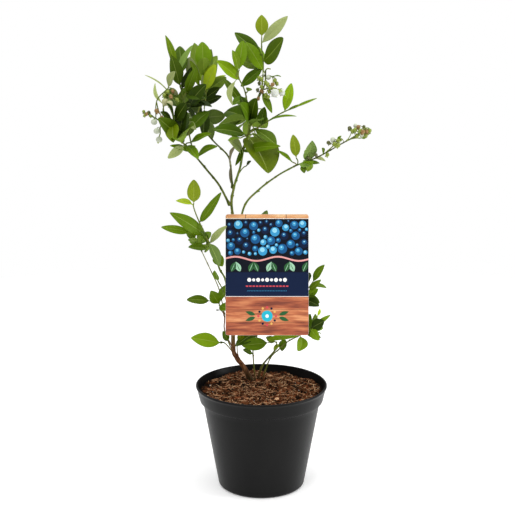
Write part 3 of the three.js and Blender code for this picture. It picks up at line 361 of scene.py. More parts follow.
# Flowers, buds and set cups of a mass: kind, middle and half the width of each.
BLOOMS = {
    "blossom_twig": [
        ("bell", (16, -36, 514), 4.8), ("bell", (24, -30, 514), 3.8), ("closed", (8, -26, 531), 3),
        ("green", (0, -26, 529), 2.4), ("green", (5, -30, 525), 2.5), ("flushed", (13, -32, 523), 2.5),
        ("green", (18, -28, 524), 2.4), ("pale", (2, -24, 535), 1.8), ("green", (10, -34, 519), 2.1),
        ("dusky", (-3, -24, 524), 2.1), ("green", (0, -28, 520), 2.4), ("green", (5, -28, 510), 2.6),
        ("flushed", (-4, -24, 506), 2), ("green", (8, -30, 508), 2.1), ("dusky", (-1, -22, 513), 2),
        ("green", (-3, -24, 530), 2.6), ("green", (7, -32, 523), 2.8), ("flushed", (0, -26, 515), 2.4),
        ("green", (16, -30, 528), 2.3), ("green", (9, -30, 515), 2.3), ("dusky", (-5, -24, 516), 2.1),
        ("green", (14, -34, 518), 2),
    ],
    "right_arm": [
        ("dusky", (106, -36, 471), 2.5), ("green", (109, -40, 468), 2.4), ("pale", (113, -36, 474), 2.6),
        ("flushed", (116, -42, 473), 2.5), ("green", (112, -44, 470), 2.4), ("green", (118, -46, 469), 2.6),
        ("dusky", (123, -38, 473), 2), ("flushed", (121, -48, 468), 2.6), ("flushed", (126, -42, 468), 2.1),
        ("green", (130, -36, 468), 2.6), ("green", (115, -42, 463), 2.4), ("pale", (120, -46, 464), 2.4),
        ("green", (125, -40, 463), 2.3), ("dusky", (81, -32, 453), 2.5), ("pale", (86, -36, 457), 3.1),
        ("green", (88, -40, 452), 2.8), ("green", (92, -38, 456), 2.6), ("green", (92, -44, 451), 2.6),
        ("green", (96, -34, 457), 1.8), ("green", (80, -30, 438), 2.4), ("dusky", (66, -30, 438), 2.1),
        ("dusky", (57, -30, 434), 1.9),
    ],
    "left_bloom": [
        ("green", (-144, -14, 489), 2), ("green", (-142, -18, 485), 2), ("dusky", (-138, -12, 488), 2),
        ("green", (-136, -16, 484), 1.9), ("flushed", (-140, -20, 487), 1.8),
        ("flushed", (-128, -16, 490), 2.9), ("flushed", (-122, -18, 482), 2.4),
        ("closed", (-131, -20, 477), 3.8), ("closed", (-127, -30, 467), 3.8),
        ("closed", (-125, -24, 456), 3.9), ("faded", (-116, -36, 503), 4), ("faded", (-110, -40, 501), 3.8),
        ("green", (-117, -32, 510), 2.5), ("flushed", (-109, -36, 509), 2.5),
        ("dusky", (-103, -34, 513), 2.3), ("flushed", (-107, -30, 515), 2.3),
        ("green", (-102, -34, 505), 2.5), ("green", (-113, -32, 514), 2.3),
    ],
}

# Places (x, z, radius) at which a mass's own leaf is left out, so that light shows between leaves.
OPENINGS = (
    (16, 494, 7), (-66, 449, 3), (-125, 506, 3), (-137, 516, 3), (51, 440, 3), (68, 439, 3), (-61, 236, 3),
    (22, 480, 6), (-140, 479, 3), (-67, 349, 3), (-27, 441, 3), (-10, 182, 3), (11, 546, 3), (-90, 520, 3),
    (63, 448, 3), (-8, 505, 2), (2, 504, 3), (-119, 471, 2), (-115, 462, 3), (-82, 446, 3), (-26, 453, 3),
    (-25, 447, 3), (41, 424, 3), (-70, 248, 3), (-74, 352, 3), (-90, 348, 3), (7, 500, 3),
)


# ---- Growth rule, as in the part's source ----------------------------------------------------


def seeded(seed):
    """A seeded stream of numbers, the same on every run."""
    state = seed * 2654435761 % 2**32

    def draw(low, high):
        nonlocal state
        state = (1664525 * state + 1013904223) % 2**32
        return low + (high - low) * state / 2**32

    return draw


def mix(a, b, share):
    """The value at a share of the way from a to b."""
    return a + (b - a) * share


def unit(v):
    """A vector, or each of an array of them, at length one."""
    return v / np.linalg.norm(v, axis=-1, keepdims=True)


def square_to(v, axis):
    """The direction of v with its part along the axis taken out."""
    return unit(v - axis * (v @ axis))


LENGTH_MARKS = 60
NUDGE = 0.001


class Route:
    """A smooth way through a few points: a uniform Catmull-Rom curve."""

    def __init__(self, points):
        p = [np.array(q, float) for q in points]
        self.knots = np.array([2 * p[0] - p[1], *p, 2 * p[-1] - p[-2]])
        self.spans = len(p) - 1
        marks = self.at(np.linspace(0, 1, LENGTH_MARKS))
        self.length = np.linalg.norm(np.diff(marks, axis=0), axis=1).sum()

    def at(self, t):
        """The place at a share of the way, or at each of an array of shares."""
        x = np.clip(t, 0, 1) * self.spans
        i = np.minimum(np.floor(x).astype(int), self.spans - 1)
        w = (x - i)[..., None]
        a, b, c, d = (self.knots[i + k] for k in range(4))
        bend = 2 * a - 5 * b + 4 * c - d
        return 0.5 * (2 * b + (c - a) * w + bend * w**2 + (3 * b - a - 3 * c + d) * w**3)

    def along(self, t):
        """The direction of the way at a share of it."""
        return unit(self.at(np.add(t, NUDGE)) - self.at(np.subtract(t, NUDGE)))


def foot_on(start, toward, radius):
    """Where a limb or a mass's stem starts: on the tip or clear of the side of its carrier."""
    name, t = start
    carrier = limbs[name]
    axis = carrier.route.along(t)
    middle = carrier.route.at(t)
    way = unit(toward - middle)
    lean = way @ axis
    if t == 1:
        return middle + axis * (GAP + FOOT_RIM * radius * math.sqrt(1 - lean**2))
    reach = mix(carrier.foot_radius, carrier.tip_radius, t) + GAP + radius * abs(lean)
    return middle + square_to(way, axis) * reach


def stem_route(plan):
    """The twig of a mass's stem: it stops a leaf short of the mass's tip."""
    points = [np.array(p, float) for p in plan.way]
    gap = plan.tip - points[-1]
    reach = np.linalg.norm(gap)
    leaf_length = min(plan.size if plan.leaves else 1, reach * (1 - STEM_SHORTEST))
    end = plan.tip - gap / reach * leaf_length
    return Route([foot_on(plan.start, points[0], plan.radius), *points, end])


def twig_route(stem, side):
    """The twig of a shoot: it bows along the stem and stops a leaf short. One leaf needs none."""
    start = stem.at(side.at)
    gap = side.tip - start
    reach = np.linalg.norm(gap)
    if side.leaves == 1 and side.size > SESSILE * reach:
        return None
    end = side.tip - gap / reach * min(side.size, reach * (1 - TWIG.shortest))
    run = end - start
    return Route([start, start + run / 2 + stem.along(side.at) * TWIG.bow * np.linalg.norm(run), end])


NEARLY_X = 0.85


def sideways(axis, degrees):
    """The direction that leaves an axis at an angle round it."""
    a = square_to(X if abs(axis[0]) < NEARLY_X else Z, axis)
    return a * math.cos(math.radians(degrees)) + np.cross(axis, a) * math.sin(math.radians(degrees))


def outward(place):
    """Leaves turn their faces out of the bush: forwards in front, backwards behind."""
    return -1 if place[1] < BACK_Y else 1


def new_leaf(base, way, face, length, width, draw, last=False):
    """One leaf: it curls along its length, folds along its midrib and rolls a little about it."""
    curl = math.radians(draw(BEND.curl_least, BEND.curl_most))
    fold = math.radians(draw(BEND.fold_least, BEND.fold_most))
    roll = math.radians(draw(-BEND.roll, BEND.roll))
    up = face * math.cos(roll) + np.cross(way, face) * math.sin(roll)
    return Named(base=base, way=way, up=up, length=length, width=width, curl=curl, fold=fold,
                 last=last, wide=1, bow=0)


def leaves_of(route, carrier_axis, plan, draw):
    """Leaves round a twig in a spiral, steeper towards its end, with one at the very tip."""
    grown = []
    turn = draw(0, 360)
    for i in range(plan.leaves - 1):
        t = SPIRAL.first + SPIRAL.spread * (i + draw(SPIRAL.early, SPIRAL.late)) / (plan.leaves - 1)
        around = turn + SPIRAL.turn * i + draw(-SPIRAL.jitter, SPIRAL.jitter)
        pitch = math.radians(PITCH.foot - PITCH.loss * t + draw(-PITCH.jitter, PITCH.jitter))
        share = LEAF_LENGTH.ends + LEAF_LENGTH.middle_gain * math.sin(math.pi * t)
        length = plan.size * share * draw(LEAF_LENGTH.least, LEAF_LENGTH.most)
        width = length * plan.slim * draw(LEAF_WIDTH.least, LEAF_WIDTH.most)
        axis = route.along(t)
        side = sideways(axis, around)
        way = axis * math.cos(pitch) + side * math.sin(pitch)
        base = route.at(t)
        inward = axis * math.sin(pitch) - side * math.cos(pitch)
        inward = inward + Z * LIGHT_PULL.up + Y * LIGHT_PULL.out * outward(base)
        grown.append(new_leaf(base, way, square_to(inward, way), length, width, draw))
    grown.append(tip_leaf(route.at(1), carrier_axis, plan, draw))
    return grown


def tip_leaf(end, carrier_axis, plan, draw):
    """The leaf at a twig's end, or straight on the stem, reaches the shoot's tip."""
    reach = np.linalg.norm(plan.tip - end)
    way = (plan.tip - end) / reach
    sway = draw(-TIP_LEAF.sway, TIP_LEAF.sway)
    face = np.array([sway, TIP_LEAF.out * outward(end), TIP_LEAF.up]) + carrier_axis * TIP_LEAF.carrier
    width = reach * plan.slim * draw(TIP_LEAF.least, TIP_LEAF.most)
    return new_leaf(end, way, square_to(face, way), reach * TIP_LEAF.overlap, width, draw, True)


def blooms_of(route, plan, draw):
    """Bells hang round the outer part of a shoot, each on its own stalk."""
    turn = draw(0, 360)
    hung = []
    for k in range(plan.blooms):
        t = BELL.first + (1 - BELL.first) * (k + 0.5) / plan.blooms
        root = route.at(t)
        side = sideways(route.along(t), turn + SPIRAL.turn * k)
        centre = root + side * draw(BELL.nearest, BELL.furthest) * plan.bell - Z * BELL.droop * plan.bell
        size = plan.bell * draw(BELL.least, BELL.most)
        hung.append(Named(centre=centre, size=size))
    return hung


def outline(s, form=LEAF_FORM.peak, taper=LEAF_FORM.taper):
    """Half a leaf's width at a share of its length: widest before the middle, pointed at the tip."""
    return np.sin(np.pi * s**form) ** taper * (1 - LEAF_FORM.tip_loss * s)


SPINE_STEPS = (np.arange(12) + 0.5) / 12


def leaf_spine(leaf, s):
    """The middle of a leaf and its own upward direction at shares of its length."""
    angle = leaf.curl * (0.5 - s[..., None] * SPINE_STEPS)
    forward = leaf.length * s * np.cos(angle).mean(-1)
    upward = leaf.length * s * np.sin(angle).mean(-1)
    middle = leaf.base + forward[..., None] * leaf.way + upward[..., None] * leaf.up
    lean = leaf.curl * (0.5 - s)[..., None]
    return middle, leaf.up * np.cos(lean) - leaf.way * np.sin(lean)


SAMPLE_ROWS = np.array([0, 0.12, 0.25, 0.38, 0.5, 0.62, 0.75, 0.87, 1])
SAMPLE_COLUMNS = np.array([-1, -0.5, 0, 0.5, 1])
NARROWEST = 0.03
FOOT_ROWS, NECK_ROWS = 2, 3


def leaf_samples(leaf):
    """Points over a leaf's blade, row by row from its foot."""
    s, across = np.meshgrid(SAMPLE_ROWS, SAMPLE_COLUMNS, indexing="ij")
    middle, normal = leaf_spine(leaf, s)
    half = leaf.width / 2 * np.maximum(outline(s), NARROWEST)
    beside = (across * half * math.cos(leaf.fold))[..., None] * np.cross(leaf.way, leaf.up)
    lift = (np.abs(across) * half * math.sin(leaf.fold))[..., None] * normal
    return (middle + beside + lift).reshape(-1, 3)


def bloom_samples(bloom):
    """The six furthest points of a bell."""
    reach = BELL.half_length * bloom.size
    return [bloom.centre + way * reach * axis for axis in (X, Y, Z) for way in (-1, 1)]


def toned(leaves, plan):
    """Gives a spray's leaves its tone, and its tip leaf the look of its own."""
    for leaf in leaves:
        leaf.tone = plan.tone
    tip = leaves[-1]
    tip.tone = plan.end.tone or plan.tone
    tip.wide = plan.end.wide
    tip.bow = plan.end.bow
    return leaves


def grow_shoot(side, stem, radius, twigs, blooms, draw):
    """A shoot's leaves. Its twig and its blooms are added to those of its mass."""
    route = twig_route(stem, side)
    if route is None:
        return toned([tip_leaf(stem.at(side.at), stem.along(side.at), side, draw)], side)
    twigs.append(Named(route=route, radius=TWIG.side_share * radius, carrier=stem, at=side.at))
    sprung = leaves_of(route, stem.along(side.at), side, draw)
    blooms += blooms_of(route, side, draw)
    return toned(sprung, side)


def grow_mass(name, plan):
    """A mass's twigs, leaves and blooms, each leaf with the tone of its spray."""
    draw = seeded(plan.seed)
    stem = stem_route(plan)
    twigs = [Named(route=stem, radius=plan.radius, carrier=limbs[plan.start[0]].route, at=plan.start[1])]
    leaves = toned(leaves_of(stem, stem.along(1), plan, draw), plan) if plan.leaves else []
    blooms = []
    for side in plan.shoots:
        leaves += grow_shoot(side, stem, plan.radius, twigs, blooms, draw)
    marks = [twig.route.at(np.linspace(0, 1, TWIG_MARKS)) for twig in twigs]
    marks += [leaf_samples(leaf) for leaf in leaves if leaf.last]
    marks += [bloom_samples(bloom) for bloom in blooms]
    return Named(name=name, stem=stem, twigs=twigs, leaves=leaves, blooms=blooms,
                 marks=np.concatenate(marks))


def nearest(points, marks):
    """The distance from each point to the nearest mark."""
    squared = ((points[:, None] - marks[None]) ** 2).sum(-1)
    return np.sqrt(squared.min(1))


def kept_leaves(mass, strangers, limb_marks, limb_radii):
    """The leaves that stay in the mass's own space, off the limbs and off the leaves before."""
    taken = []
    kept = []
    for leaf in sorted(mass.leaves, key=lambda leaf: not leaf.last):
        points = leaf_samples(leaf)
        past_foot = points[FOOT_ROWS * len(SAMPLE_COLUMNS):]
        blade = points[NECK_ROWS * len(SAMPLE_COLUMNS):]
        if (nearest(points, mass.marks) + MASS_CLEARANCE > nearest(points, strangers)).any():
            continue
        to_limbs = np.linalg.norm(past_foot[:, None] - limb_marks[None], axis=-1)
        if (to_limbs < limb_radii + LIMB_CLEARANCE).any():
            continue
        if taken and (nearest(blade, np.concatenate(taken)) < LEAF_CLEARANCE).any():
            continue
        taken.append(blade)
        kept.append(leaf)
    return kept


def shows(leaf):
    """A leaf is left out when it has no width or its middle lies in an opening."""
    x, _, z = leaf.base + leaf.way * leaf.length / 2
    clear = all(math.hypot(x - hole_x, z - hole_z) > radius for hole_x, hole_z, radius in OPENINGS)
    return leaf.wide > 0 and clear


limbs = {}
for name, plan in LIMBS.items():
    way = [np.array(p, float) for p in plan.way]
    rooted = not isinstance(plan.start[0], str)
    foot = np.array(plan.start, float) if rooted else foot_on(plan.start, way[0], plan.foot_radius)
    limbs[name] = Named(name=name, route=Route([foot, *way]), rooted=rooted, start=plan.start,
                        foot_radius=plan.foot_radius, tip_radius=plan.tip_radius)

masses = [grow_mass(name, plan) for name, plan in MASSES.items()]
mark_places = np.linspace(0, 1, LIMB_MARKS)
limb_marks = np.concatenate([one.route.at(mark_places) for one in limbs.values()])
limb_radii = np.concatenate([mix(one.foot_radius, one.tip_radius, mark_places) for one in limbs.values()])
for mass in masses:
    strangers = np.concatenate([other.marks for other in masses if other is not mass])
    mass.kept = [leaf for leaf in kept_leaves(mass, strangers, limb_marks, limb_radii) if shows(leaf)]

FINER_RADIUS = 0.8


def grow_finer(mass, carrier, sides):
    """Finer shoots of a mass, all of whose leaves stay."""
    draw = seeded(len(sides))
    for side in sides:
        grown = grow_shoot(side, carrier, FINER_RADIUS, mass.twigs, mass.blooms, draw)
        mass.kept += [leaf for leaf in grown if leaf.wide > 0]


for mass in masses:
    grow_finer(mass, mass.stem, FINER_SHOOTS.get(mass.name, ()))
sprouts = Named(name="sprouts", twigs=[], kept=[], blooms=[])
for name, sides in LIMB_SHOOTS.items():
    grow_finer(sprouts, limbs[name].route, sides)


# ---- Mesh tools ------------------------------------------------------------------------------


def put_in_scene(thing):
    bpy.context.scene.collection.objects.link(thing)


def smooth(data, sharp):
    """Smooths a mesh's shading, but for edges sharper than an angle in degrees."""
    data.shade_smooth()
    data.set_sharp_from_angle(angle=math.radians(sharp))


class Mesh:
    """Gathers closed bodies, each face with the number of its material."""

    def __init__(self):
        self.points = []
        self.faces = []
        self.kinds = []
        self.count = 0

    def add(self, points, faces, kinds):
        """Adds one body. kinds is one number, or one for each face."""
        points = np.reshape(points, (-1, 3))
        self.points.append(points)
        self.faces += (np.array(face) + self.count for face in faces)
        self.kinds += [kinds] * len(faces) if np.isscalar(kinds) else list(kinds)
        self.count += len(points)

    def add_spindle(self, rings, start, end, kinds=0):
        """A closed body of rings between two poles. kinds may give one number for each column."""
        rows, columns = rings.shape[:2]
        i, j = np.meshgrid(np.arange(rows - 1), np.arange(columns), indexing="ij")
        after = (j + 1) % columns
        ring_faces = np.stack([i * columns + j, i * columns + after, (i + 1) * columns + after,
                               (i + 1) * columns + j], axis=-1).reshape(-1, 4)
        j = np.arange(columns)
        after = (j + 1) % columns
        foot = rows * columns
        last = (rows - 1) * columns
        start_fan = np.stack([np.full(columns, foot), after, j], axis=-1)
        end_fan = np.stack([np.full(columns, foot + 1), last + j, last + after], axis=-1)
        by_column = np.broadcast_to(kinds, columns)
        body_kinds = np.concatenate([np.tile(by_column, rows - 1), by_column, by_column])
        points = np.concatenate([rings.reshape(-1, 3), [start, end]])
        self.add(points, [*ring_faces, *start_fan, *end_fan], body_kinds)

    def take(self, other, turn, place):
        """Adds another mesh's bodies, turned about its origin and moved to a place."""
        points = np.concatenate(other.points) @ turn.T + place
        self.add(points, other.faces, other.kinds)

    def data(self, name):
        """The gathered bodies as a mesh of Blender's, in metres."""
        data = bpy.data.meshes.new(name)
        data.from_pydata(np.concatenate(self.points) * MM, [], [face.tolist() for face in self.faces])
        return data

    def piece(self, name, slot, materials, nodes=(), sharp=60):
        """Makes the gathered bodies one piece of the scene that rides on the root."""
        data = self.data(name)
        for material in materials:
            data.materials.append(material)
        data.polygons.foreach_set("material_index", np.array(self.kinds, np.int32))
        smooth(data, sharp)
        piece = bpy.data.objects.new(name, data)
        put_in_scene(piece)
        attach(piece, "root")
        if nodes:
            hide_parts(*nodes)
        return piece


TUBE_NEARLY_X = 0.7
TUBE_ENDS = Named(start=0.5, end=0.6)


def frames_along(points):
    """A steady frame at each point of a line: its direction and two directions square to it."""
    along = unit(np.gradient(points, axis=0))
    across = [square_to(X if abs(along[0, 0]) < TUBE_NEARLY_X else Y, along[0])]
    for axis in along[1:]:
        across.append(square_to(across[-1], axis))
    across = np.array(across)
    return along, across, np.cross(along, across)


def turns(sides):
    """The angles of a ring's points."""
    return 2 * np.pi * np.arange(sides) / sides


def add_tube(mesh, points, radii, sides, kinds=0):
    """A rounded rod along a line. radii gives one number a point, or one for each side too."""
    points = np.asarray(points, float)
    radii = np.broadcast_to(np.reshape(radii, (len(points), -1)), (len(points), sides))
    along, across, beside = frames_along(points)
    angle = turns(sides)
    spokes = np.cos(angle)[None, :, None] * across[:, None]
    spokes = spokes + np.sin(angle)[None, :, None] * beside[:, None]
    rings = points[:, None] + radii[..., None] * spokes
    start = points[0] - along[0] * radii[0].mean() * TUBE_ENDS.start
    end = points[-1] + along[-1] * radii[-1].mean() * TUBE_ENDS.end
    mesh.add_spindle(rings, start, end, kinds)


def add_lathe(mesh, profile, centre, sides, kinds=0, lobes=0, lobing=(), drop=(), phase=0):
    """A body turned about an upright axis from (radius, height) points, its first and last on it.

    lobing gives each ring's share of radius that swings in a number of lobes, and drop how far
    the lobes' tips hang below.
    """
    profile = np.array(profile, float)
    inner = profile[1:-1]
    angle = turns(sides) + phase
    swing = np.cos(lobes * (angle - phase)) if lobes else np.zeros(sides)
    lobing = np.reshape(lobing if len(lobing) else np.zeros(len(inner)), (-1, 1))
    drop = np.reshape(drop if len(drop) else np.zeros(len(inner)), (-1, 1))
    radius = inner[:, :1] * (1 + lobing * swing)
    height = inner[:, 1:] - drop * swing
    rings = np.stack([radius * np.cos(angle), radius * np.sin(angle), height], axis=-1)
    r, z = profile.T
    downwards = (r[:-1] * z[1:] - r[1:] * z[:-1]).sum() < 0
    rings = rings[:, ::-1] if downwards else rings
    centre = np.asarray(centre, float)
    mesh.add_spindle(rings + centre, centre + Z * profile[0, 1], centre + Z * profile[-1, 1], kinds)


def noise(points, seed):
    """Smooth noise between -1 and 1 at each point, with cells one unit wide."""
    points = np.asarray(points, float)
    cell = np.floor(points).astype(np.int64)
    share = points - cell
    share = share * share * (3 - 2 * share)
    total = np.zeros(points.shape[:-1])
    for corner in itertools.product((0, 1), repeat=3):
        spot = cell + np.array(corner)
        mixed = spot[..., 0] * 374761393 + spot[..., 1] * 668265263 + spot[..., 2] * 362437 + seed * 974711
        mixed = (mixed ^ (mixed >> 13)) * 12741261
        value = ((mixed ^ (mixed >> 16)) & 0xFFFF) / 0x7FFF - 1
        total += np.prod(np.where(corner, share, 1 - share), axis=-1) * value
    return total


def rough(points, seed, octaves=3):
    """Noise with finer noise on top, each half as strong and twice as fine as the last."""
    points = np.asarray(points, float)
    return sum(noise(points * 2**k, seed + k) / 2**k for k in range(octaves))


# ---- Materials -------------------------------------------------------------------------------


def screen(colour, light=1.0):
    """A colour in 0-255 screen values as the linear one that Blender works in, by the sRGB curve."""
    values = [min(v * light, 255) / 255 for v in colour]
    return (*(((v + 0.055) / 1.055) ** 2.4 if v > 0.04 else v / 12.92 for v in values), 1)


def finish_of(name, colour, roughness, light=1.0, **values):
    """A material with its colour, roughness and other numbers on the shader's own sockets."""
    material = bpy.data.materials.new(name)
    material.use_nodes = True
    shader = material.node_tree.nodes["Principled BSDF"]
    shader.inputs["Base Color"].default_value = screen(colour, light)
    shader.inputs["Roughness"].default_value = roughness
    for socket, value in values.items():
        shader.inputs[socket.replace("_", " ")].default_value = value
    return material


def add_node(material, kind, links=(), **values):
    """A node with its properties set and its sockets linked or given a value by name."""
    tree = material.node_tree
    node = tree.nodes.new(kind)
    for name, value in values.items():
        setattr(node, name, value)
    for socket, source in links:
        if hasattr(source, "is_output"):
            tree.links.new(source, node.inputs[socket])
        else:
            node.inputs[socket].default_value = source
    return node


def speckle(material, scale, stretch=(1, 1, 1), detail=4):
    """Noise on the piece, with a number of cells to the metre, squeezed along its axes."""
    spot = add_node(material, "ShaderNodeTexCoord")
    stretched = [("Vector", spot.outputs["Object"]), ("Scale", stretch)]
    place = add_node(material, "ShaderNodeMapping", stretched)
    links = [("Vector", place.outputs["Vector"]), ("Scale", scale), ("Detail", detail)]
    return add_node(material, "ShaderNodeTexNoise", links).outputs["Fac"]


def ramp(material, share, places, tones, light=1.0):
    """Tones dealt out along a share, each at its place, in rising order."""
    node = add_node(material, "ShaderNodeValToRGB", [("Fac", share)])
    for place in places[2:]:
        node.color_ramp.elements.new(place)
    for element, place, tone in zip(node.color_ramp.elements, places, tones):
        element.position = place
        element.color = screen(tone, light)
    return node.outputs["Color"]


MIX_FIRST, MIX_SECOND, MIX_COLOUR = 6, 7, 2


def blended(material, share, first, second):
    """Two colours mixed by a share. The mix node's colour sockets are found by number."""
    node = add_node(material, "ShaderNodeMix", data_type="RGBA")
    links = material.node_tree.links
    links.new(share, node.inputs["Factor"])
    links.new(first, node.inputs[MIX_FIRST])
    links.new(second, node.inputs[MIX_SECOND])
    return node.outputs[MIX_COLOUR]


def paint(material, socket, source):
    """Links a source to one of the shader's sockets."""
    shader = material.node_tree.nodes["Principled BSDF"]
    material.node_tree.links.new(source, shader.inputs[socket])


def tinted(material, share, places, tones, light=1.0):
    """Paints a material with tones dealt out along a share."""
    paint(material, "Base Color", ramp(material, share, places, tones, light))


def bumped(material, share, distance, strength=1.0):
    """Fine relief on a material: its depth is in millimetres."""
    links = [("Height", share), ("Distance", distance * MM), ("Strength", strength)]
    paint(material, "Normal", add_node(material, "ShaderNodeBump", links).outputs["Normal"])


def by_height(material, low, high):
    """A share that goes from 0 at one height to 1 at another, both in millimetres."""
    spot = add_node(material, "ShaderNodeTexCoord")
    apart = add_node(material, "ShaderNodeSeparateXYZ", [("Vector", spot.outputs["Object"])])
    span = [("Value", apart.outputs["Z"]), ("From Min", low * MM), ("From Max", high * MM)]
    return add_node(material, "ShaderNodeMapRange", span).outputs["Result"]


# ---- Limbs and twigs -------------------------------------------------------------------------

COLLAR = Named(lower=4, lower_at_tip=0.5, lead_points=7, flare=0.75, reach=2.6)
BARK = Named(sides=22, step=0.8, fewest=6, crack=0.16, crack_cell=(3.4, 5), lump=0.07,
             lump_cell=(1.7, 9), cracked=1, smooth=0.35, thin=0.5, thick=1.6)
NODE = Named(first=6, first_rooted=12, first_side=8, shift=8, every=(15, 26), last=4, rise=0.34,
             width=1.7, all_round=0.45)
BUD = Named(size=1.25, least=0.6, most=1, lean=0.55, thick_stem=1.6, thin_share=0.35, sides=8,
            span=(-0.4, 1.9), widths=(0.3, 0.5, 0.62, 0.64, 0.58, 0.48, 0.36, 0.22, 0.08))
ROOT_LOBES = Named(count=3, depth=0.16, reach=9)
CRACKED = ("main_stem", "side_twig", "dry_twig", "right_low_stem", "right_low_twig", "left_bough",
           "upper_left_bough", "back_stem", "mid_shoot")


def points_along(route, step):
    """A route's points about a step apart, a few at least."""
    return route.at(np.linspace(0, 1, max(BARK.fewest, round(route.length / step))))


def lead_in(foot, carrier, at):
    """A short way to a stem's foot, bowed, from inside what carries it."""
    axis = carrier.along(at)
    inside = carrier.at(at) - axis * COLLAR.lower * (COLLAR.lower_at_tip if at == 1 else 1)
    u = np.linspace(0, 1, COLLAR.lead_points)[:-1, None]
    return inside * (1 - u) ** 2 + carrier.at(at) * 2 * u * (1 - u) + foot * u**2


def lengths_along(points):
    """The distance of each point along its line."""
    return np.concatenate([[0], np.cumsum(np.linalg.norm(np.diff(points, axis=0), axis=1))])


def node_places(length, rng, first=NODE.first):
    """Distances along a stem at which it has a node."""
    places = []
    place = first + rng.uniform(0, NODE.shift)
    while place < length - NODE.last:
        places.append(place)
        place += rng.uniform(*NODE.every)
    return places


def swelling(run, place, width):
    """A smooth rise round a place along a stem, 1 at its middle."""
    return np.exp(-((run - place) / width) ** 2)


def bark_noise(angle, run, cell, seed):
    """Noise round and along a stem, drawn out by a cell of (turns of it, length)."""
    around, along = cell
    spot = np.broadcast_arrays(np.cos(angle) * around, np.sin(angle) * around, run[:, None] / along)
    return noise(np.stack(spot, -1), seed)


def bark_relief(run, radius, nodes, turn, depth, seed):
    """How far the bark stands off a stem: lengthwise cracks, lumps, and a swelling at each node."""
    angle = turns(BARK.sides)[None]
    cracks = depth * BARK.crack * -np.abs(bark_noise(angle, run, BARK.crack_cell, seed))
    relief = cracks + BARK.lump * bark_noise(angle, run, BARK.lump_cell, seed + 5)
    for k, place in enumerate(nodes):
        facing = np.cos(angle - turn - math.radians(SPIRAL.turn) * k)
        rise = swelling(run[:, None], place, NODE.width)
        side_share = NODE.all_round + (1 - NODE.all_round) * np.clip(facing, 0, 1)
        relief = relief + rise * NODE.rise * side_share
    return relief * np.clip(radius[:, None], BARK.thin, BARK.thick)


def add_bud(mesh, root, way, size):
    """A small pointed bud that leans along its stem."""
    points = root + way * np.linspace(*BUD.span, len(BUD.widths))[:, None] * size
    add_tube(mesh, points, size * np.array(BUD.widths), BUD.sides)


def limb_mesh(one, seed):
    """A stem or bough with its bark's relief, flared where it leaves the ground or its carrier."""
    rng = np.random.default_rng(seed)
    points = points_along(one.route, BARK.step)
    lead = 0
    if not one.rooted:
        name, at = one.start
        led_in = lead_in(points[0], limbs[name].route, at)
        lead = len(led_in)
        points = np.concatenate([led_in, points])
    run = lengths_along(points)
    own = run - run[lead]
    t = np.clip(own / own[-1], 0, 1)
    radius = mix(one.foot_radius, one.tip_radius, t)
    if one.rooted:
        radius = radius * (1 + ROOT_FLARE.extra * np.exp(-t / ROOT_FLARE.reach))
    elif one.start[1] < 1:
        radius = radius * (1 + COLLAR.flare * np.exp(-np.abs(own) / COLLAR.reach))
    nodes = node_places(run[-1], rng, NODE.first_rooted if one.rooted else NODE.first_side)
    turn = rng.uniform(0, ANY_ANGLE)
    depth = BARK.cracked if one.name in CRACKED else BARK.smooth
    relief = bark_relief(run, radius, nodes, turn, depth, seed)
    if one.rooted:
        swing = np.cos(ROOT_LOBES.count * turns(BARK.sides)[None] + turn)
        lobes = ROOT_LOBES.depth * swing * np.exp(-run[:, None] / ROOT_LOBES.reach)
        relief = relief + radius[:, None] * lobes
    mesh = Mesh()
    add_tube(mesh, points, radius[:, None] + relief, BARK.sides)
    along, across, beside = frames_along(points)
    for k, place in enumerate(nodes):
        i = np.searchsorted(run, place)
        angle = turn + math.radians(SPIRAL.turn) * k
        side = across[i] * math.cos(angle) + beside[i] * math.sin(angle)
        stem_share = min(1, radius[i] / BUD.thick_stem + BUD.thin_share)
        size = BUD.size * rng.uniform(BUD.least, BUD.most) * stem_share
        add_bud(mesh, points[i] + side * radius[i], unit(along[i] + side * BUD.lean), size)
    return mesh


TWIG_LOOK = Named(sides=9, step=1.2, tip_radius=0.75, node_rise=0.22, node_width=1.3, flare=0.5,
                  flare_reach=3)


def add_twig(mesh, twig, kind, rng):
    """A twig of a mass, from inside its carrier to its end, thicker at the foot and at its nodes."""
    points = points_along(twig.route, TWIG_LOOK.step)
    points = np.concatenate([lead_in(points[0], twig.carrier, twig.at), points])
    run = lengths_along(points)
    taper = mix(twig.radius, TWIG_LOOK.tip_radius, run / run[-1])
    radius = taper * (1 + TWIG_LOOK.flare * np.exp(-run / TWIG_LOOK.flare_reach))
    for place in node_places(run[-1], rng):
        radius = radius + TWIG_LOOK.node_rise * swelling(run, place, TWIG_LOOK.node_width)
    add_tube(mesh, points, radius, TWIG_LOOK.sides, kind)


# ---- Leaves ----------------------------------------------------------------------------------

BLADE = Named(rows=25, half_columns=(0.04, 0.18, 0.38, 0.6, 0.82, 1), thickness=0.14, stalk=2.4,
              stalk_most=0.3, stalk_half=0.7, stalk_depth=0.6, tip_half=0.1, crowding=0.09, veins=7,
              vein_depth=0.2, slant=0.11, rib=0.32, groove=0.06, thin_edge=0.55, margin_roll=0.1,
              wave=0.5, wide=16, fuller=1.06, foot=0.5, twist_axis=0.3, stalk_flat=0.9, rib_foot=1.2,
              rib_loss=0.8)
VARIETY = Named(form=(0.84, 1.02), taper=(0.62, 0.8), twist=0.3, sway=0.05, wave=(0.3, 1),
                waves=(1.2, 2.8), tip_leaf=0.4, shades=(0.3, 0.45, 0.25))
SHADES = (0.86, 1.0, 1.13)
UNDER, RIB = len(SHADES), len(SHADES) + 1


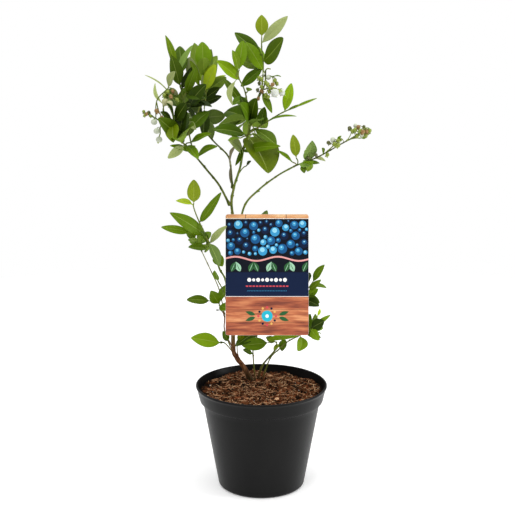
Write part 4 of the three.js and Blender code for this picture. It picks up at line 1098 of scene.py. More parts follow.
def leaf_rows():
    """Shares of a leaf's length, closer together near its two ends."""
    u = np.linspace(0, 1, BLADE.rows + 2)[1:-1]
    return u - BLADE.crowding * np.sin(2 * np.pi * u) / (2 * np.pi)


def blade_columns():
    """Shares of half the width round a section: under side right to left, upper side back."""
    half = np.array(BLADE.half_columns)
    row = np.concatenate([-half[::-1], half])
    columns = np.concatenate([row[::-1], row])
    upper = np.concatenate([-np.ones(len(row)), np.ones(len(row))])
    kinds = np.concatenate([np.full(len(row), UNDER), np.zeros(len(row), int)])
    rib = len(half) - 1
    kinds[[rib, len(row) + rib]] = RIB
    kinds[len(row) - 1] = 0
    return columns, upper, kinds


ROWS = leaf_rows()
COLUMNS, UPPER, BLADE_KINDS = blade_columns()


def add_leaf(mesh, leaf, rng):
    """A closed blade on its stalk, with sunk side veins, a rib beneath and a wavy margin."""
    loose = VARIETY.tip_leaf if leaf.last else 1
    form = rng.uniform(*VARIETY.form)
    taper = rng.uniform(*VARIETY.taper)
    twist = rng.uniform(-VARIETY.twist, VARIETY.twist) * loose
    sway = rng.uniform(-VARIETY.sway, VARIETY.sway) * leaf.length * loose
    wave = rng.uniform(*VARIETY.wave) * BLADE.wave * min(1, leaf.width / BLADE.wide)
    waves = rng.uniform(*VARIETY.waves)
    starts = rng.uniform(0, ANY_ANGLE, 2)
    size = np.abs(COLUMNS)[None]
    u = ROWS[:, None]
    s = np.clip(u + BLADE.slant * size * np.sin(np.pi * u), 0, 1)
    stalk = min(BLADE.stalk_most, BLADE.stalk / leaf.length)
    blade = np.clip((s - stalk) / (1 - stalk), 0, 1)
    neck = mix(BLADE.stalk_half, BLADE.tip_half, s)
    full_half = leaf.width / 2 * leaf.wide * BLADE.fuller
    half = np.maximum(full_half * outline(blade, form, taper), neck)
    middle, normal = leaf_spine(leaf, s)
    flat = np.cross(leaf.way, leaf.up)
    turn = (twist * (s - BLADE.twist_axis))[..., None]
    beside = flat * np.cos(turn) + normal * np.sin(turn)
    normal = normal * np.cos(turn) - flat * np.sin(turn)
    middle = middle + flat * (sway * s**2 + leaf.bow * np.sin(np.pi * s))[..., None]
    full = np.clip((half - neck) / full_half, 0, 1)
    vein = np.cos(2 * np.pi * BLADE.veins * u) * np.sin(np.pi * size) * full
    start = np.where(COLUMNS < 0, starts[0], starts[1])[None]
    lift = size * half * math.sin(leaf.fold)
    lift = lift - BLADE.margin_roll * half * size**3
    lift = lift + BLADE.vein_depth * vein
    lift = lift + wave * full * size**2 * np.sin(2 * np.pi * waves * s + start)
    inner = size < 2 * BLADE.half_columns[0]
    thick = BLADE.thickness * (1 - BLADE.thin_edge * size**4)
    stalk_share = (1 - full) * (1 - s) ** 2 * (1 - BLADE.stalk_flat * size**2)
    thick = thick + BLADE.stalk_depth * stalk_share
    under = np.where(inner, BLADE.rib * (BLADE.rib_foot - BLADE.rib_loss * s), 0)
    groove = np.where(inner, BLADE.groove, 0)
    lift = lift + np.where(UPPER > 0, thick - groove, -thick - under)
    spread = COLUMNS * half * math.cos(leaf.fold)
    points = middle + spread[..., None] * beside + lift[..., None] * normal
    ends, _ = leaf_spine(leaf, np.array([0.0, 1.0]))
    shade = rng.choice(len(SHADES), p=VARIETY.shades)
    kinds = np.where(BLADE_KINDS == 0, shade, BLADE_KINDS)
    mesh.add_spindle(points, ends[0] - leaf.way * BLADE.foot, ends[1] + flat * sway, kinds)


# ---- Blooms ----------------------------------------------------------------------------------

WHITE, CALYX, STALK, GREEN, FLUSHED, DUSKY, PALE, FADED = range(8)
BELLS = {"bell": WHITE, "faded": FADED}
CUPS = {"green": GREEN, "flushed": FLUSHED, "dusky": DUSKY, "pale": PALE}
FLOWER = Named(sides=20, lobes=5, long=1.3, cup_tilt=0.9, bell_tilt=0.25, least_tilt=0.2, top=0.85)
STALK_LOOK = Named(points=9, sides=7, radius=0.42, foot=1.1, head=0.85, bow=0.25)


def add_turned(mesh, profile, size, kind, phase, lobing, drop=(), centre=(0, 0, 0)):
    """A five-lobed part of a flower, its profile in units of a size (half width, half height)."""
    wide, tall = size
    sized = [(r * wide, z * tall) for r, z in profile]
    add_lathe(mesh, sized, centre, FLOWER.sides, kind, FLOWER.lobes, lobing, drop, phase)


def add_bell(mesh, wide, phase, kind):
    """An urn-shaped flower: a hollow corolla with five curled lobes under a green star calyx."""
    half = FLOWER.long * wide
    outer = [(0, 0.7), (0.34, 0.67), (0.68, 0.54), (0.9, 0.32), (1, 0.04), (1, -0.24), (0.92, -0.5),
             (0.74, -0.72), (0.6, -0.84), (0.58, -0.9), (0.7, -0.96), (0.84, -0.94)]
    inner = [(0.84, -0.9), (0.62, -0.87), (0.5, -0.8), (0.62, -0.66), (0.82, -0.4), (0.86, 0), (0.6, 0.34),
             (0, 0.44)]
    lobing = (*[0] * 8, 0.04, 0.12, 0.2, 0.2, 0.12, *[0] * 5)
    drop = (*[0] * 9, 0.1, 0.35, 0.35, 0.1, *[0] * 5)
    add_turned(mesh, outer + inner, (wide, half), kind, phase, lobing, drop)
    add_calyx(mesh, Z * half * 0.56, wide * 0.62, phase)


def add_calyx(mesh, centre, wide, phase):
    """The green cup over a flower, with five short points."""
    outer = [(0, 0.66), (0.3, 0.62), (0.5, 0.5), (0.62, 0.3), (0.78, 0.08), (1.0, -0.1)]
    inner = [(0.94, -0.16), (0.7, -0.02), (0.5, 0.1), (0, 0.16)]
    lobing = (0, 0, 0, 0.05, 0.22, 0.2, 0.05, 0)
    drop = (0, 0, 0, 0, 0.16 * wide, 0.16 * wide, 0.05, 0)
    add_turned(mesh, outer + inner, (wide, wide), CALYX, phase, lobing, drop, centre)


def add_fruitlet(mesh, wide, phase, kind):
    """A set flower: a round cup that carries the five points of its calyx at its foot."""
    cup = [(0, 1), (0.4, 0.94), (0.76, 0.68), (0.97, 0.25), (1, -0.12), (0.88, -0.48), (0.7, -0.72)]
    points = [(0.74, -0.95), (0.86, -1.22), (0.76, -1.24), (0.5, -0.84), (0, -0.7)]
    lobing = (0, 0, 0, 0, 0, 0.02, 0.08, 0.2, 0.2, 0.04)
    drop = (0, 0, 0, 0, 0, 0, 0.08 * wide, 0.22 * wide, 0.22 * wide, 0)
    add_turned(mesh, cup + points, (wide, wide), kind, phase, lobing, drop)


def add_closed_flower(mesh, wide, phase):
    """A flower still closed: a round pale bud hanging under its calyx."""
    bud = [(0, 0.9), (0.4, 0.84), (0.78, 0.6), (0.97, 0.2), (1, -0.15), (0.88, -0.55), (0.52, -0.88),
           (0, -1)]
    add_turned(mesh, bud, (wide, wide), PALE, phase, (0.01, 0.02, 0.03, 0.04, 0.06, 0.1))
    add_calyx(mesh, Z * wide * 0.6, wide * 0.6, phase)


def add_stalk(mesh, root, head):
    """A flower's stalk leaves its twig, bows up a little and comes down to the flower."""
    u = np.linspace(0, 1, STALK_LOOK.points)[:, None]
    bend = (root + head) / 2 + Z * STALK_LOOK.bow * np.linalg.norm(head - root)
    points = root * (1 - u) ** 2 + bend * 2 * u * (1 - u) + head * u**2
    radii = STALK_LOOK.radius * np.linspace(STALK_LOOK.foot, STALK_LOOK.head, STALK_LOOK.points)
    add_tube(mesh, points, radii, STALK_LOOK.sides, STALK)


def leaning(most, rng):
    """A turn that leans a flower by up to an angle, in any direction."""
    around = rng.uniform(0, 2 * math.pi)
    angle = rng.uniform(FLOWER.least_tilt, 1) * most
    axis = np.array([math.cos(around), math.sin(around), 0])
    cross = np.array([np.cross(axis, one) for one in (X, Y, Z)]).T
    return np.eye(3) + math.sin(angle) * cross + (1 - math.cos(angle)) * cross @ cross


def add_bloom(mesh, kind, centre, wide, twig_marks, rng):
    """A flower, bud or set cup, and its stalk from the nearest place on the mass's twigs."""
    phase = rng.uniform(0, ANY_ANGLE)
    shape = Mesh()
    if kind in BELLS:
        add_bell(shape, wide, phase, BELLS[kind])
    elif kind == "closed":
        add_closed_flower(shape, wide, phase)
    else:
        add_fruitlet(shape, wide, phase, CUPS[kind])
    turn = leaning(FLOWER.cup_tilt if kind in CUPS else FLOWER.bell_tilt, rng)
    mesh.take(shape, turn, centre)
    head = centre + turn @ Z * wide * FLOWER.top
    root = twig_marks[np.linalg.norm(twig_marks - head, axis=1).argmin()]
    add_stalk(mesh, root, head)


# ---- Pot and compost -------------------------------------------------------------------------

STEP = POT.height - POT.rim_depth
RIM_INSIDE = POT.rim_radius - POT.lip
POT_SIDES = 144
POT_SHARP = 40
UNDERSIDE = (30, 48)
EASED = Named(shoulder=0.7, rim_foot=0.9, rim_top=1, rim_inside=0.5)
DRAIN_SIDES = 32


def arc(centre_r, centre_z, radius, start, end, steps):
    """Points of a round edge in a turned profile, its angles in degrees from straight out."""
    angles = np.radians(np.linspace(start, end, steps))
    return [(centre_r + radius * math.cos(a), centre_z + radius * math.sin(a)) for a in angles]


def slant(foot, head, shares):
    """Points of a straight side of a turned profile at shares of its way up."""
    return [(mix(foot[0], head[0], u), mix(foot[1], head[1], u)) for u in shares]


def pot_mesh():
    """The pot's wall, step, collar and rolled rim, with its edges rounded."""
    p, e = POT, EASED
    edge = p.edge_radius
    outside = [(0, 0), (UNDERSIDE[0], 0), (UNDERSIDE[1], 0)]
    outside += arc(p.base_radius - edge, edge, edge, -90, -2, 9)
    body_foot, body_head = (p.base_radius, edge), (p.body_radius, STEP - p.step_rise)
    outside += slant(body_foot, body_head, np.linspace(0.04, 0.985, 20))
    outside += [(p.body_radius + 0.4, STEP - 1.1), (p.body_radius + 1.2, STEP - 0.9)]
    outside += [(p.collar_radius - 0.9, STEP - 0.2)]
    outside += arc(p.collar_radius - e.shoulder, STEP + e.shoulder, e.shoulder, -70, 0, 5)
    collar_foot, collar_head = (p.collar_radius, STEP), (p.rim_radius - 1.1, p.height - 3.4)
    outside += slant(collar_foot, collar_head, np.linspace(0.08, 0.93, 8))
    lip = arc(p.rim_radius - e.rim_foot, p.height - 1.9, e.rim_foot, -60, 0, 4)
    lip += arc(p.rim_radius - e.rim_top, p.height - e.rim_top, e.rim_top, 10, 90, 6)
    lip += arc(RIM_INSIDE + e.rim_inside, p.height - e.rim_inside, e.rim_inside, 95, 175, 5)
    inside = [(RIM_INSIDE - p.rim_slope, p.height - p.lip), (p.collar_radius - p.wall, STEP + p.wall)]
    inside += [(p.body_radius - p.wall, STEP + p.wall - p.step_rise), (p.base_radius - p.wall, edge)]
    inside += [(p.base_radius - p.wall - p.toe_inset, p.floor), (UNDERSIDE[0], p.floor), (0, p.floor)]
    mesh = Mesh()
    add_lathe(mesh, outside + lip + inside, (0, 0, 0), POT_SIDES)
    return mesh


def drain_cutter():
    """The pot's drain holes as one set of rods to cut away."""
    mesh = Mesh()
    depth = 3 * POT.floor
    rod = [(0, -depth), (DRAINS.radius, -depth), (DRAINS.radius, depth), (0, depth)]
    for k in range(DRAINS.count):
        angle = 2 * math.pi * k / DRAINS.count
        centre = (DRAINS.ring * math.cos(angle), DRAINS.ring * math.sin(angle), 0)
        add_lathe(mesh, rod, centre, DRAIN_SIDES)
    return bpy.data.objects.new("drain_cutter", mesh.data("drain_cutter"))


def make_pot():
    """The pot with its drain holes cut."""
    pot = pot_mesh().piece("pot_moulded", "pot_plastic", [pot_plastic()], ["pot"], POT_SHARP)
    cutter = drain_cutter()
    put_in_scene(cutter)
    cut = pot.modifiers.new("drains", "BOOLEAN")
    cut.operation = "DIFFERENCE"
    cut.solver = "EXACT"
    cut.object = cutter
    bpy.context.view_layer.update()
    shown = pot.evaluated_get(bpy.context.evaluated_depsgraph_get())
    cut_data = bpy.data.meshes.new_from_object(shown)
    pot.modifiers.clear()
    pot.data = cut_data
    smooth(pot.data, POT_SHARP)
    bpy.data.objects.remove(cutter)


def pot_plastic():
    """Black moulded plastic: satin, faintly cloudy, with fine relief."""
    material = finish_of("pot_plastic", (13, 13, 13), 0.38, Specular_IOR_Level=0.14)
    cloud = speckle(material, 38, (1, 1, 0.35))
    tinted(material, cloud, (0.3, 0.7), ((9, 9, 9), (14, 14, 14)))
    haze = speckle(material, 900, (1, 1, 0.3), 3)
    span = [("Value", haze), ("From Min", 0.3), ("From Max", 0.7), ("To Min", 0.34), ("To Max", 0.44)]
    paint(material, "Roughness", add_node(material, "ShaderNodeMapRange", span).outputs["Result"])
    bumped(material, speckle(material, 2200, detail=2), 0.03, 0.5)
    return material


BED = Named(rings=64, sides=220, innermost=0.012, crown_radius=76, crown_power=1.5, swing=2.2,
            cell=11, octaves=4, seed=7, sunk=2.2, edge_band=0.04, edge_drop=2)
# Dips in the compost: x, y, width, depth. The first is a deep hole, darkened with painted shade.
HOLLOWS = ((53, -7, 6, 8), (58, 8, 14, 3.5), (66, -18, 11, 3.5), (-54, 14, 8, 3), (44, 48, 18, 3),
           (10, 64, 14, 2.5), (-30, -52, 9, 2))


def dip(x, y, hollow):
    """How deep a place lies in a hollow, as a share of its depth."""
    middle_x, middle_y, width, _ = hollow
    return np.exp(-((x - middle_x) ** 2 + (y - middle_y) ** 2) / width**2)


def compost_height(x, y):
    """The height of the compost at a place in the pot: crowned, with a low mound and hollows."""
    out = np.clip(np.hypot(x, y) / BED.crown_radius, 0, 1)
    height = mix(COMPOST.middle_height, COMPOST.edge_height, out**BED.crown_power)
    away = np.hypot(x - MOUND.x, y - MOUND.y)
    slope = np.clip((MOUND.foot_radius - away) / (MOUND.foot_radius - MOUND.flat_radius), 0, 1)
    mound = MOUND.height - MOUND.depth * (1 - slope)
    height = np.maximum(height, mound)
    for hollow in HOLLOWS:
        height = height - hollow[-1] * dip(x, y, hollow)
    spot = np.stack([x, y, np.zeros_like(x)], axis=-1)
    return height + BED.swing * rough(spot / BED.cell, BED.seed, BED.octaves) - BED.sunk


def height_at(x, y):
    """The height of the compost at one place."""
    return compost_height(np.array([float(x)]), np.array([float(y)]))[0]


def compost_bed():
    """The compost as one closed body, down to the pot's floor."""
    inside = POT.wall + GAP
    top_radius = mix(POT.collar_radius - inside, RIM_INSIDE - POT.rim_slope - GAP,
                     (COMPOST.edge_height - STEP) / POT.rim_depth)
    side = [(POT.base_radius - inside - POT.toe_inset, POT.floor + GAP),
            (POT.base_radius - inside, POT.edge_radius),
            (POT.body_radius - inside, STEP + POT.wall - POT.step_rise + GAP),
            (POT.collar_radius - inside, STEP + POT.wall + 1.5 * GAP)]
    angle = turns(BED.sides)
    rings = [np.stack([r * np.cos(angle), r * np.sin(angle), np.full_like(angle, z)], -1) for r, z in side]
    for share in np.linspace(1, BED.innermost, BED.rings):
        x = top_radius * share * np.cos(angle)
        y = top_radius * share * np.sin(angle)
        drop = BED.edge_drop * max(0, share - (1 - BED.edge_band)) / BED.edge_band
        rings.append(np.stack([x, y, compost_height(x, y) - drop], -1))
    mesh = Mesh()
    mesh.add_spindle(np.array(rings), Z * (POT.floor + GAP), Z * height_at(0, 0))
    return mesh


def lump_shape():
    """A round stone's points and triangles, from a subdivided icosahedron."""
    form = bmesh.new()
    bmesh.ops.create_icosphere(form, subdivisions=2, radius=1)
    points = np.array([v.co[:] for v in form.verts])
    faces = [[v.index for v in face.verts] for face in form.faces]
    form.free()
    return points, faces


def any_turn(rng):
    """A random turn in space, as three square directions."""
    a = unit(rng.normal(size=3))
    b = square_to(rng.normal(size=3), a)
    return np.array([a, b, np.cross(a, b)])


CRUMBS = Named(count=2400, sizes=(0.6, 2.8), squash=(1, 0.8, 0.62), tones=(0.3, 0.4, 0.18, 0.12),
               seed=11)
GRAINS = Named(count=60, sizes=(0.5, 1.3), squash=(1, 0.9, 0.85), tones=(1,), seed=14)
FIBRES = Named(count=3900, lengths=(3, 12), radii=(0.15, 0.46), tones=(0.33, 0.29, 0.29, 0.09), seed=12)
CHIPS_SEED = 13
CRUMB_LOOK = Named(spread=77, limit=79, skew=1.7, wobble=0.34, wobble_scale=1.3, wobble_seed=3,
                   raised=0.25)
FIBRE_LOOK = Named(spread=75, limit=77.5, curl=1.6, points=6, sides=4, tilt=0.25, raised=(0.5, 2.2),
                   widths=(0.5, 0.9, 1, 1, 0.8, 0.35), lenience=0.15)
# Dark stuff on the compost: damp patches, and painted shade towards the left and in the deep hole.
DAMP_AND_SHADE = Named(cell=21, seed=21, base=0.12, swing=0.55, outward=0.0035, leftward=0.0025, most=0.9)


def place_in_pot(rng, widest):
    """A random place on the compost, the same amount on each patch of it."""
    r = widest * math.sqrt(rng.random())
    a = rng.uniform(0, 2 * math.pi)
    return r * math.cos(a), r * math.sin(a)


def damp_and_shade_share(x, y):
    """The share of dark stuff at a place: damper patches, and painted shade that grows towards the left
    side and fills the hole.
    """
    patch = float(noise(np.array([x / DAMP_AND_SHADE.cell, y / DAMP_AND_SHADE.cell, 0.0]), DAMP_AND_SHADE.seed))
    share = DAMP_AND_SHADE.base + DAMP_AND_SHADE.swing * patch + DAMP_AND_SHADE.outward * abs(x) - DAMP_AND_SHADE.leftward * x
    return min(max(share, 0) + dip(x, y, HOLLOWS[0]), DAMP_AND_SHADE.most)


def scatter_crumbs(batch):
    """Crumbs lie on the compost, each a lump of its own shape, size and tone."""
    rng = np.random.default_rng(batch.seed)
    least, most = batch.sizes
    tones = batch.tones
    points, faces = lump_shape()
    mesh = Mesh()
    for _ in range(batch.count):
        x, y = place_in_pot(rng, CRUMB_LOOK.spread)
        size = least * (most / least) ** rng.random() ** CRUMB_LOOK.skew
        spots = points * CRUMB_LOOK.wobble_scale + rng.uniform(0, 90, 3)
        wobble = 1 + CRUMB_LOOK.wobble * noise(spots, CRUMB_LOOK.wobble_seed)
        shaped = points * wobble[:, None] * size * np.array(batch.squash)
        if math.hypot(x, y) + size > CRUMB_LOOK.limit:
            continue
        # Dark crumbs lie in the damp patches and as painted shade on the left and in the hole.
        kind = 0 if rng.random() < damp_and_shade_share(x, y) else rng.choice(len(tones), p=tones)
        place = (x, y, height_at(x, y) + CRUMB_LOOK.raised * size)
        mesh.add(shaped @ any_turn(rng) + place, faces, kind)
    return mesh


def scatter_fibres():
    """Fibres of peat and bark, curled and lying across the compost."""
    rng = np.random.default_rng(FIBRES.seed)
    tones = FIBRES.tones
    mesh = Mesh()
    for _ in range(FIBRES.count):
        x, y = place_in_pot(rng, FIBRE_LOOK.spread)
        length = rng.uniform(*FIBRES.lengths)
        heading = rng.uniform(0, ANY_ANGLE)
        curl = rng.uniform(-FIBRE_LOOK.curl, FIBRE_LOOK.curl)
        u = np.linspace(-0.5, 0.5, FIBRE_LOOK.points)
        angle = heading + curl * u
        step = length / (FIBRE_LOOK.points - 1)
        px = x + np.cumsum(np.cos(angle)) * step - np.cos(angle).sum() * step / 2
        py = y + np.cumsum(np.sin(angle)) * step - np.sin(angle).sum() * step / 2
        outside = np.hypot(px, py).max() > FIBRE_LOOK.limit
        # Fibres are left out in the damp patches and in the painted shade, where the dark crumbs lie.
        if outside or rng.random() < damp_and_shade_share(x, y) - FIBRE_LOOK.lenience:
            continue
        tilt = rng.uniform(-FIBRE_LOOK.tilt, FIBRE_LOOK.tilt) * length
        ground_z = np.maximum(height_at(x, y) + tilt * u, compost_height(px, py))
        pz = ground_z + rng.uniform(*FIBRE_LOOK.raised)
        radius = rng.uniform(*FIBRES.radii) * np.array(FIBRE_LOOK.widths)
        kind = rng.choice(len(tones), p=tones)
        add_tube(mesh, np.stack([px, py, pz], -1), radius, FIBRE_LOOK.sides, kind)
    return mesh


CHIP_LOOK = Named(sides=12, ragged=0.25, uneven=0.12, pole=0.55, raised=1.6, heading=3.1, tilt=0.4,
                  large=15, levels=((-0.5, 0.8), (-0.3, 1), (0.3, 1), (0.5, 0.78)))


def add_chip(mesh, place, size, heading, tilt, kind, rng):
    """A flat split chip of bark or wood, with a broken outline."""
    long, wide, thick = size
    angle = turns(CHIP_LOOK.sides)
    edge = 1 + CHIP_LOOK.ragged * rng.uniform(-1, 1, CHIP_LOOK.sides)
    ring = np.stack([np.cos(angle) * edge * long / 2, np.sin(angle) * edge * wide / 2], -1)
    rings = np.array([[(*(p * grow), level * thick + CHIP_LOOK.uneven * rng.uniform(-1, 1)) for p in ring]
                      for level, grow in CHIP_LOOK.levels])
    start, end = np.array([0, 0, -CHIP_LOOK.pole * thick]), np.array([0, 0, CHIP_LOOK.pole * thick])
    cos, sin = math.cos(heading), math.sin(heading)
    turn = np.array([[cos, sin, 0], [-sin, cos, 0], [0, 0, 1]])
    lean = np.array([[1, 0, 0], [0, math.cos(tilt), math.sin(tilt)], [0, -math.sin(tilt), math.cos(tilt)]])
    spin = lean @ turn
    mesh.add_spindle(rings @ spin + place, start @ spin + place, end @ spin + place, kind)


# Larger chips of bark: x, y, length, width, thickness.
CHIPS = ((-27, -34, 17, 11, 2.2), (-20, -62, 10, 6, 1.4), (19, -46, 9, 4, 1.2), (9, -16, 8, 3, 1),
         (24, -74, 7, 4, 1.3), (4, -72, 8, 5, 1.2), (-40, -44, 7, 4, 1.2), (38, -30, 9, 5, 1.4),
         (-52, -8, 8, 5, 1.5), (12, 50, 9, 5, 1.4), (-44, 40, 8, 4, 1.3), (48, 22, 7, 4, 1.2),
         (-12, 2, 7, 4, 1.2), (30, 4, 8, 4, 1.2), (-2, -40, 7, 3, 1.1), (-30, 18, 7, 4, 1.2),
         (56, -34, 7, 4, 1.2))


def chip_mesh():
    """The larger chips on the compost, the largest of them of the first material."""
    rng = np.random.default_rng(CHIPS_SEED)
    mesh = Mesh()
    for x, y, long, wide, thick in CHIPS:
        spot = np.array([x, y, height_at(x, y) + CHIP_LOOK.raised])
        heading, tilt = rng.uniform(0, CHIP_LOOK.heading), rng.uniform(-CHIP_LOOK.tilt, CHIP_LOOK.tilt)
        kind = int(rng.integers(0, 3))
        add_chip(mesh, spot, (long, wide, thick), heading, tilt, kind if long < CHIP_LOOK.large else 0, rng)
    return mesh


def earthen(name, tones, scale=700):
    """A dull crumbly material in a few tones of brown."""
    material = finish_of(name, tones[1], 0.92, Specular_IOR_Level=0.1)
    tinted(material, speckle(material, scale, detail=6), (0.32, 0.5, 0.68), tones)
    bumped(material, speckle(material, scale * 1.6, detail=6), 0.5, 0.8)
    return material


SOIL = {
    "dark": ((10, 4, 0), (26, 13, 4), (50, 29, 14)),
    "brown": ((42, 20, 8), (82, 46, 22), (124, 80, 46)),
    "red": ((72, 32, 14), (116, 62, 34), (158, 98, 62)),
    "tan": ((140, 92, 62), (196, 148, 108), (234, 200, 160)),
    "black": ((10, 5, 2), (22, 12, 6), (40, 24, 14)),
}
GRAIN = ((196, 190, 180), (226, 222, 214), (244, 242, 236))


def make_compost():
    """The bed, its crumbs, fibres, chips and white grains, each kind a piece."""
    dark, brown, red, tan, black = (earthen(f"compost_{name}", tones) for name, tones in SOIL.items())
    white = earthen("compost_grain", GRAIN, 1200)
    pieces = (
        ("bed", compost_bed(), [dark], 180),
        ("crumbs", scatter_crumbs(CRUMBS), [dark, brown, red, black], 70),
        ("fibres", scatter_fibres(), [brown, red, tan, black], 180),
        ("chips", chip_mesh(), [red, tan, brown], 40),
        ("grains", scatter_crumbs(GRAINS), [white], 70),
    )
    for name, mesh, finishes, sharp in pieces:
        mesh.piece(f"compost_{name}", "compost", finishes, ["compost"], sharp)


# ---- Label -----------------------------------------------------------------------------------

INK = {
    "navy": (8, 26, 58), "night": (3, 9, 24), "blue": (22, 84, 136), "sky": (58, 150, 200),
    "glint": (150, 214, 236), "pink": (226, 158, 156), "leaf": (44, 92, 52), "mint": (158, 204, 172),
    "white": (244, 244, 242), "teal": (40, 178, 200), "red": (214, 74, 84), "gold": (226, 176, 96),
}
BOARD = {"pale_board": ((236, 180, 124), (214, 148, 96), (238, 196, 146)),
         "red_board": ((122, 58, 40), (170, 88, 56), (204, 128, 84)),
         "warm_board": ((146, 74, 48), (190, 108, 68), (222, 152, 104))}
PRINTS = [*INK, *BOARD]
LAYER = Named(height=0.07, sunk=0.05)
LABEL = Named(inset=0.15, strip=5.2, rule=0.7, picture_foot=73, band_foot=103, sprig=128, corner=2.8)


def card_point(x, y, z):
    """A place on the card, from its middle: across, up its face, and out of it."""
    slope = math.radians(90 - CARD.lean)
    cos, sin = math.cos(slope), math.sin(slope)
    return np.array(CARD.centre) + np.stack([x + 0 * y, y * cos - z * sin, y * sin + z * cos], -1)


def add_print(mesh, outline_points, layer, ink):
    """A flat patch of print: a thin plate on the card with the outline given anticlockwise."""
    flat = np.array(outline_points, float)
    count = len(flat)
    low = card_point(flat[:, 0], flat[:, 1], np.full(count, -LAYER.sunk))
    high = card_point(flat[:, 0], flat[:, 1], np.full(count, LAYER.height * layer))
    j = np.arange(count)
    after = (j + 1) % count
    walls = np.stack([j, after, count + after, count + j], -1)
    faces = [*walls, np.arange(count)[::-1], np.arange(count) + count]
    mesh.add(np.concatenate([low, high]), faces, PRINTS.index(ink))


def disc(x, y, radius, count):
    """A round patch with a number of sides."""
    angle = turns(count)
    return np.stack([x + radius * np.cos(angle), y + radius * np.sin(angle)], -1)


def bar(x, half, low, high):
    """An upright-sided patch about a place across the card."""
    return [(x - half, low), (x + half, low), (x + half, high), (x - half, high)]


def row(count, step):
    """Places a step apart across the card, about its middle."""
    return [(k - count // 2) * step for k in range(count)]


def ribbon(x, middle, half):
    """A band that follows a line across the card."""
    return np.concatenate([np.stack([x, middle - half], -1), np.stack([x, middle + half], -1)[::-1]])


def petal(x, y, length, width, heading):
    """A leaf-shaped patch from its foot, pointed at both ends."""
    u = np.linspace(0, 1, 11)
    half = width / 2 * np.sin(np.pi * u**0.85)
    cos, sin = math.cos(heading), math.sin(heading)
    right = np.stack([x + u * length * cos + half * sin, y + u * length * sin - half * cos], -1)
    left = np.stack([x + u * length * cos - half * sin, y + u * length * sin + half * cos], -1)
    return np.concatenate([right, left[::-1][1:-1]])


def rounded_field(low, high, top=False, foot=False):
    """A field right across the card, with the card's round corners where it meets them."""
    half = CARD.width / 2 - LABEL.inset
    r = LABEL.corner
    points = []
    for side, start in ((1, -90), (1, 0), (-1, 90), (-1, 180)):
        level = low if start in (-90, 180) else high
        rounded = foot if start in (-90, 180) else top
        if rounded:
            inward = 1 if level == low else -1
            points += arc(side * (half - r), level + inward * r, r, start, start + 90, 6)
        else:
            points.append((side * half, level))
    return points


def from_top(distance):
    """A height on the card from a distance below its top edge."""
    return CARD.height / 2 - distance


FRUIT = Named(count=62, sizes=(2.3, 5.6), seed=21, tries=9000, shrinking=2500, vary=(0.85, 1.1), apart=0.4,
              turn=(1.2, 2.6), lit=0.3, lit_size=0.52, glint=0.1, glint_size=0.18)
LIGHTER = {"blue": "sky", "sky": "glint", "navy": "blue"}


def scatter_discs(field, count, sizes, rng):
    """Discs spread over a field without touching, large ones first."""
    left, right, low, high = field
    placed = []
    for attempt in range(FRUIT.tries):
        size = mix(sizes[1], sizes[0], min(1, attempt / FRUIT.shrinking)) * rng.uniform(*FRUIT.vary)
        x, y = rng.uniform(left + size, right - size), rng.uniform(low + size, high - size)
        if all(math.hypot(x - px, y - py) > size + ps + FRUIT.apart for px, py, ps in placed):
            placed.append((x, y, size))
        if len(placed) == count:
            break
    return placed


def print_picture(mesh):
    """Round blue fruit on a dark field over a row of leaves: plain discs and leaf shapes."""
    top, foot = from_top(LABEL.strip + LABEL.rule), from_top(LABEL.picture_foot)
    half = CARD.width / 2 - LABEL.inset
    add_print(mesh, rounded_field(foot, top), 1, "night")
    x = np.linspace(-half, half, 61)
    wave = foot + 17 + 2.6 * np.sin(x / 8.5)
    rng = np.random.default_rng(FRUIT.seed)
    for fx, fy, size in scatter_discs((-half, half, foot + 21, top - 0.5), FRUIT.count, FRUIT.sizes, rng):
        tone = ("blue", "sky", "navy")[int(rng.integers(0, 3))]
        turn = rng.uniform(*FRUIT.turn)
        add_print(mesh, disc(fx, fy, size, 28), 2, tone)
        lit_x = fx + FRUIT.lit * size * math.cos(turn)
        lit_y = fy + FRUIT.lit * size * math.sin(turn)
        add_print(mesh, disc(lit_x, lit_y, size * FRUIT.lit_size, 22), 3, LIGHTER[tone])
        add_print(mesh, disc(lit_x, lit_y + FRUIT.glint * size, size * FRUIT.glint_size, 14), 4, "glint")
    add_print(mesh, ribbon(x, wave, 1.1), 3, "pink")
    for k, lx in enumerate(np.linspace(-half + 7, half - 7, 9)):
        heading = math.radians(90 + (24 if k % 2 else -24))
        blade, vein = ("mint", "leaf") if k % 3 == 1 else ("leaf", "mint")
        add_print(mesh, petal(lx, foot + 1, 13.5, 7, heading), 2, blade)
        add_print(mesh, petal(lx, foot + 1, 12, 0.7, heading), 3, vein)


def print_band(mesh):
    """A navy band with rows of plain dots and short bars."""
    top, foot = from_top(LABEL.picture_foot), from_top(LABEL.band_foot)
    add_print(mesh, rounded_field(foot, top), 1.5, "navy")
    for k, x in enumerate(row(9, 5.6)):
        add_print(mesh, disc(x, top - 9.5, 1.9 if k % 2 else 2.5, 24), 2.5, "white")
    for x in row(13, 4.2):
        add_print(mesh, bar(x, 1.5, top - 18.2, top - 16.6), 2.5, "red")
    for x in row(25, 2):
        add_print(mesh, bar(x, 0.6, top - 23.6, top - 23), 2.5, "sky")


def print_sprig(mesh):
    """A round spot with a ring of small dots and four leaves on the boards."""
    y = from_top(LABEL.sprig)
    ring = 11
    add_print(mesh, disc(0, y, 7, 40), 2.5, "teal")
    add_print(mesh, disc(0, y, 2.2, 24), 3.5, "white")
    for k in range(12):
        angle = math.radians(30 * k)
        dot = disc(ring * math.cos(angle), y + ring * math.sin(angle), 1.5, 18)
        add_print(mesh, dot, 2.5, ("red", "gold", "navy")[k % 3])
    for side, rise in itertools.product((-1, 1), repeat=2):
        heading = math.atan2(rise * 0.35, side)
        add_print(mesh, petal(side * 15, y + rise * 1.5, 13, 5, heading), 2.5, "leaf")


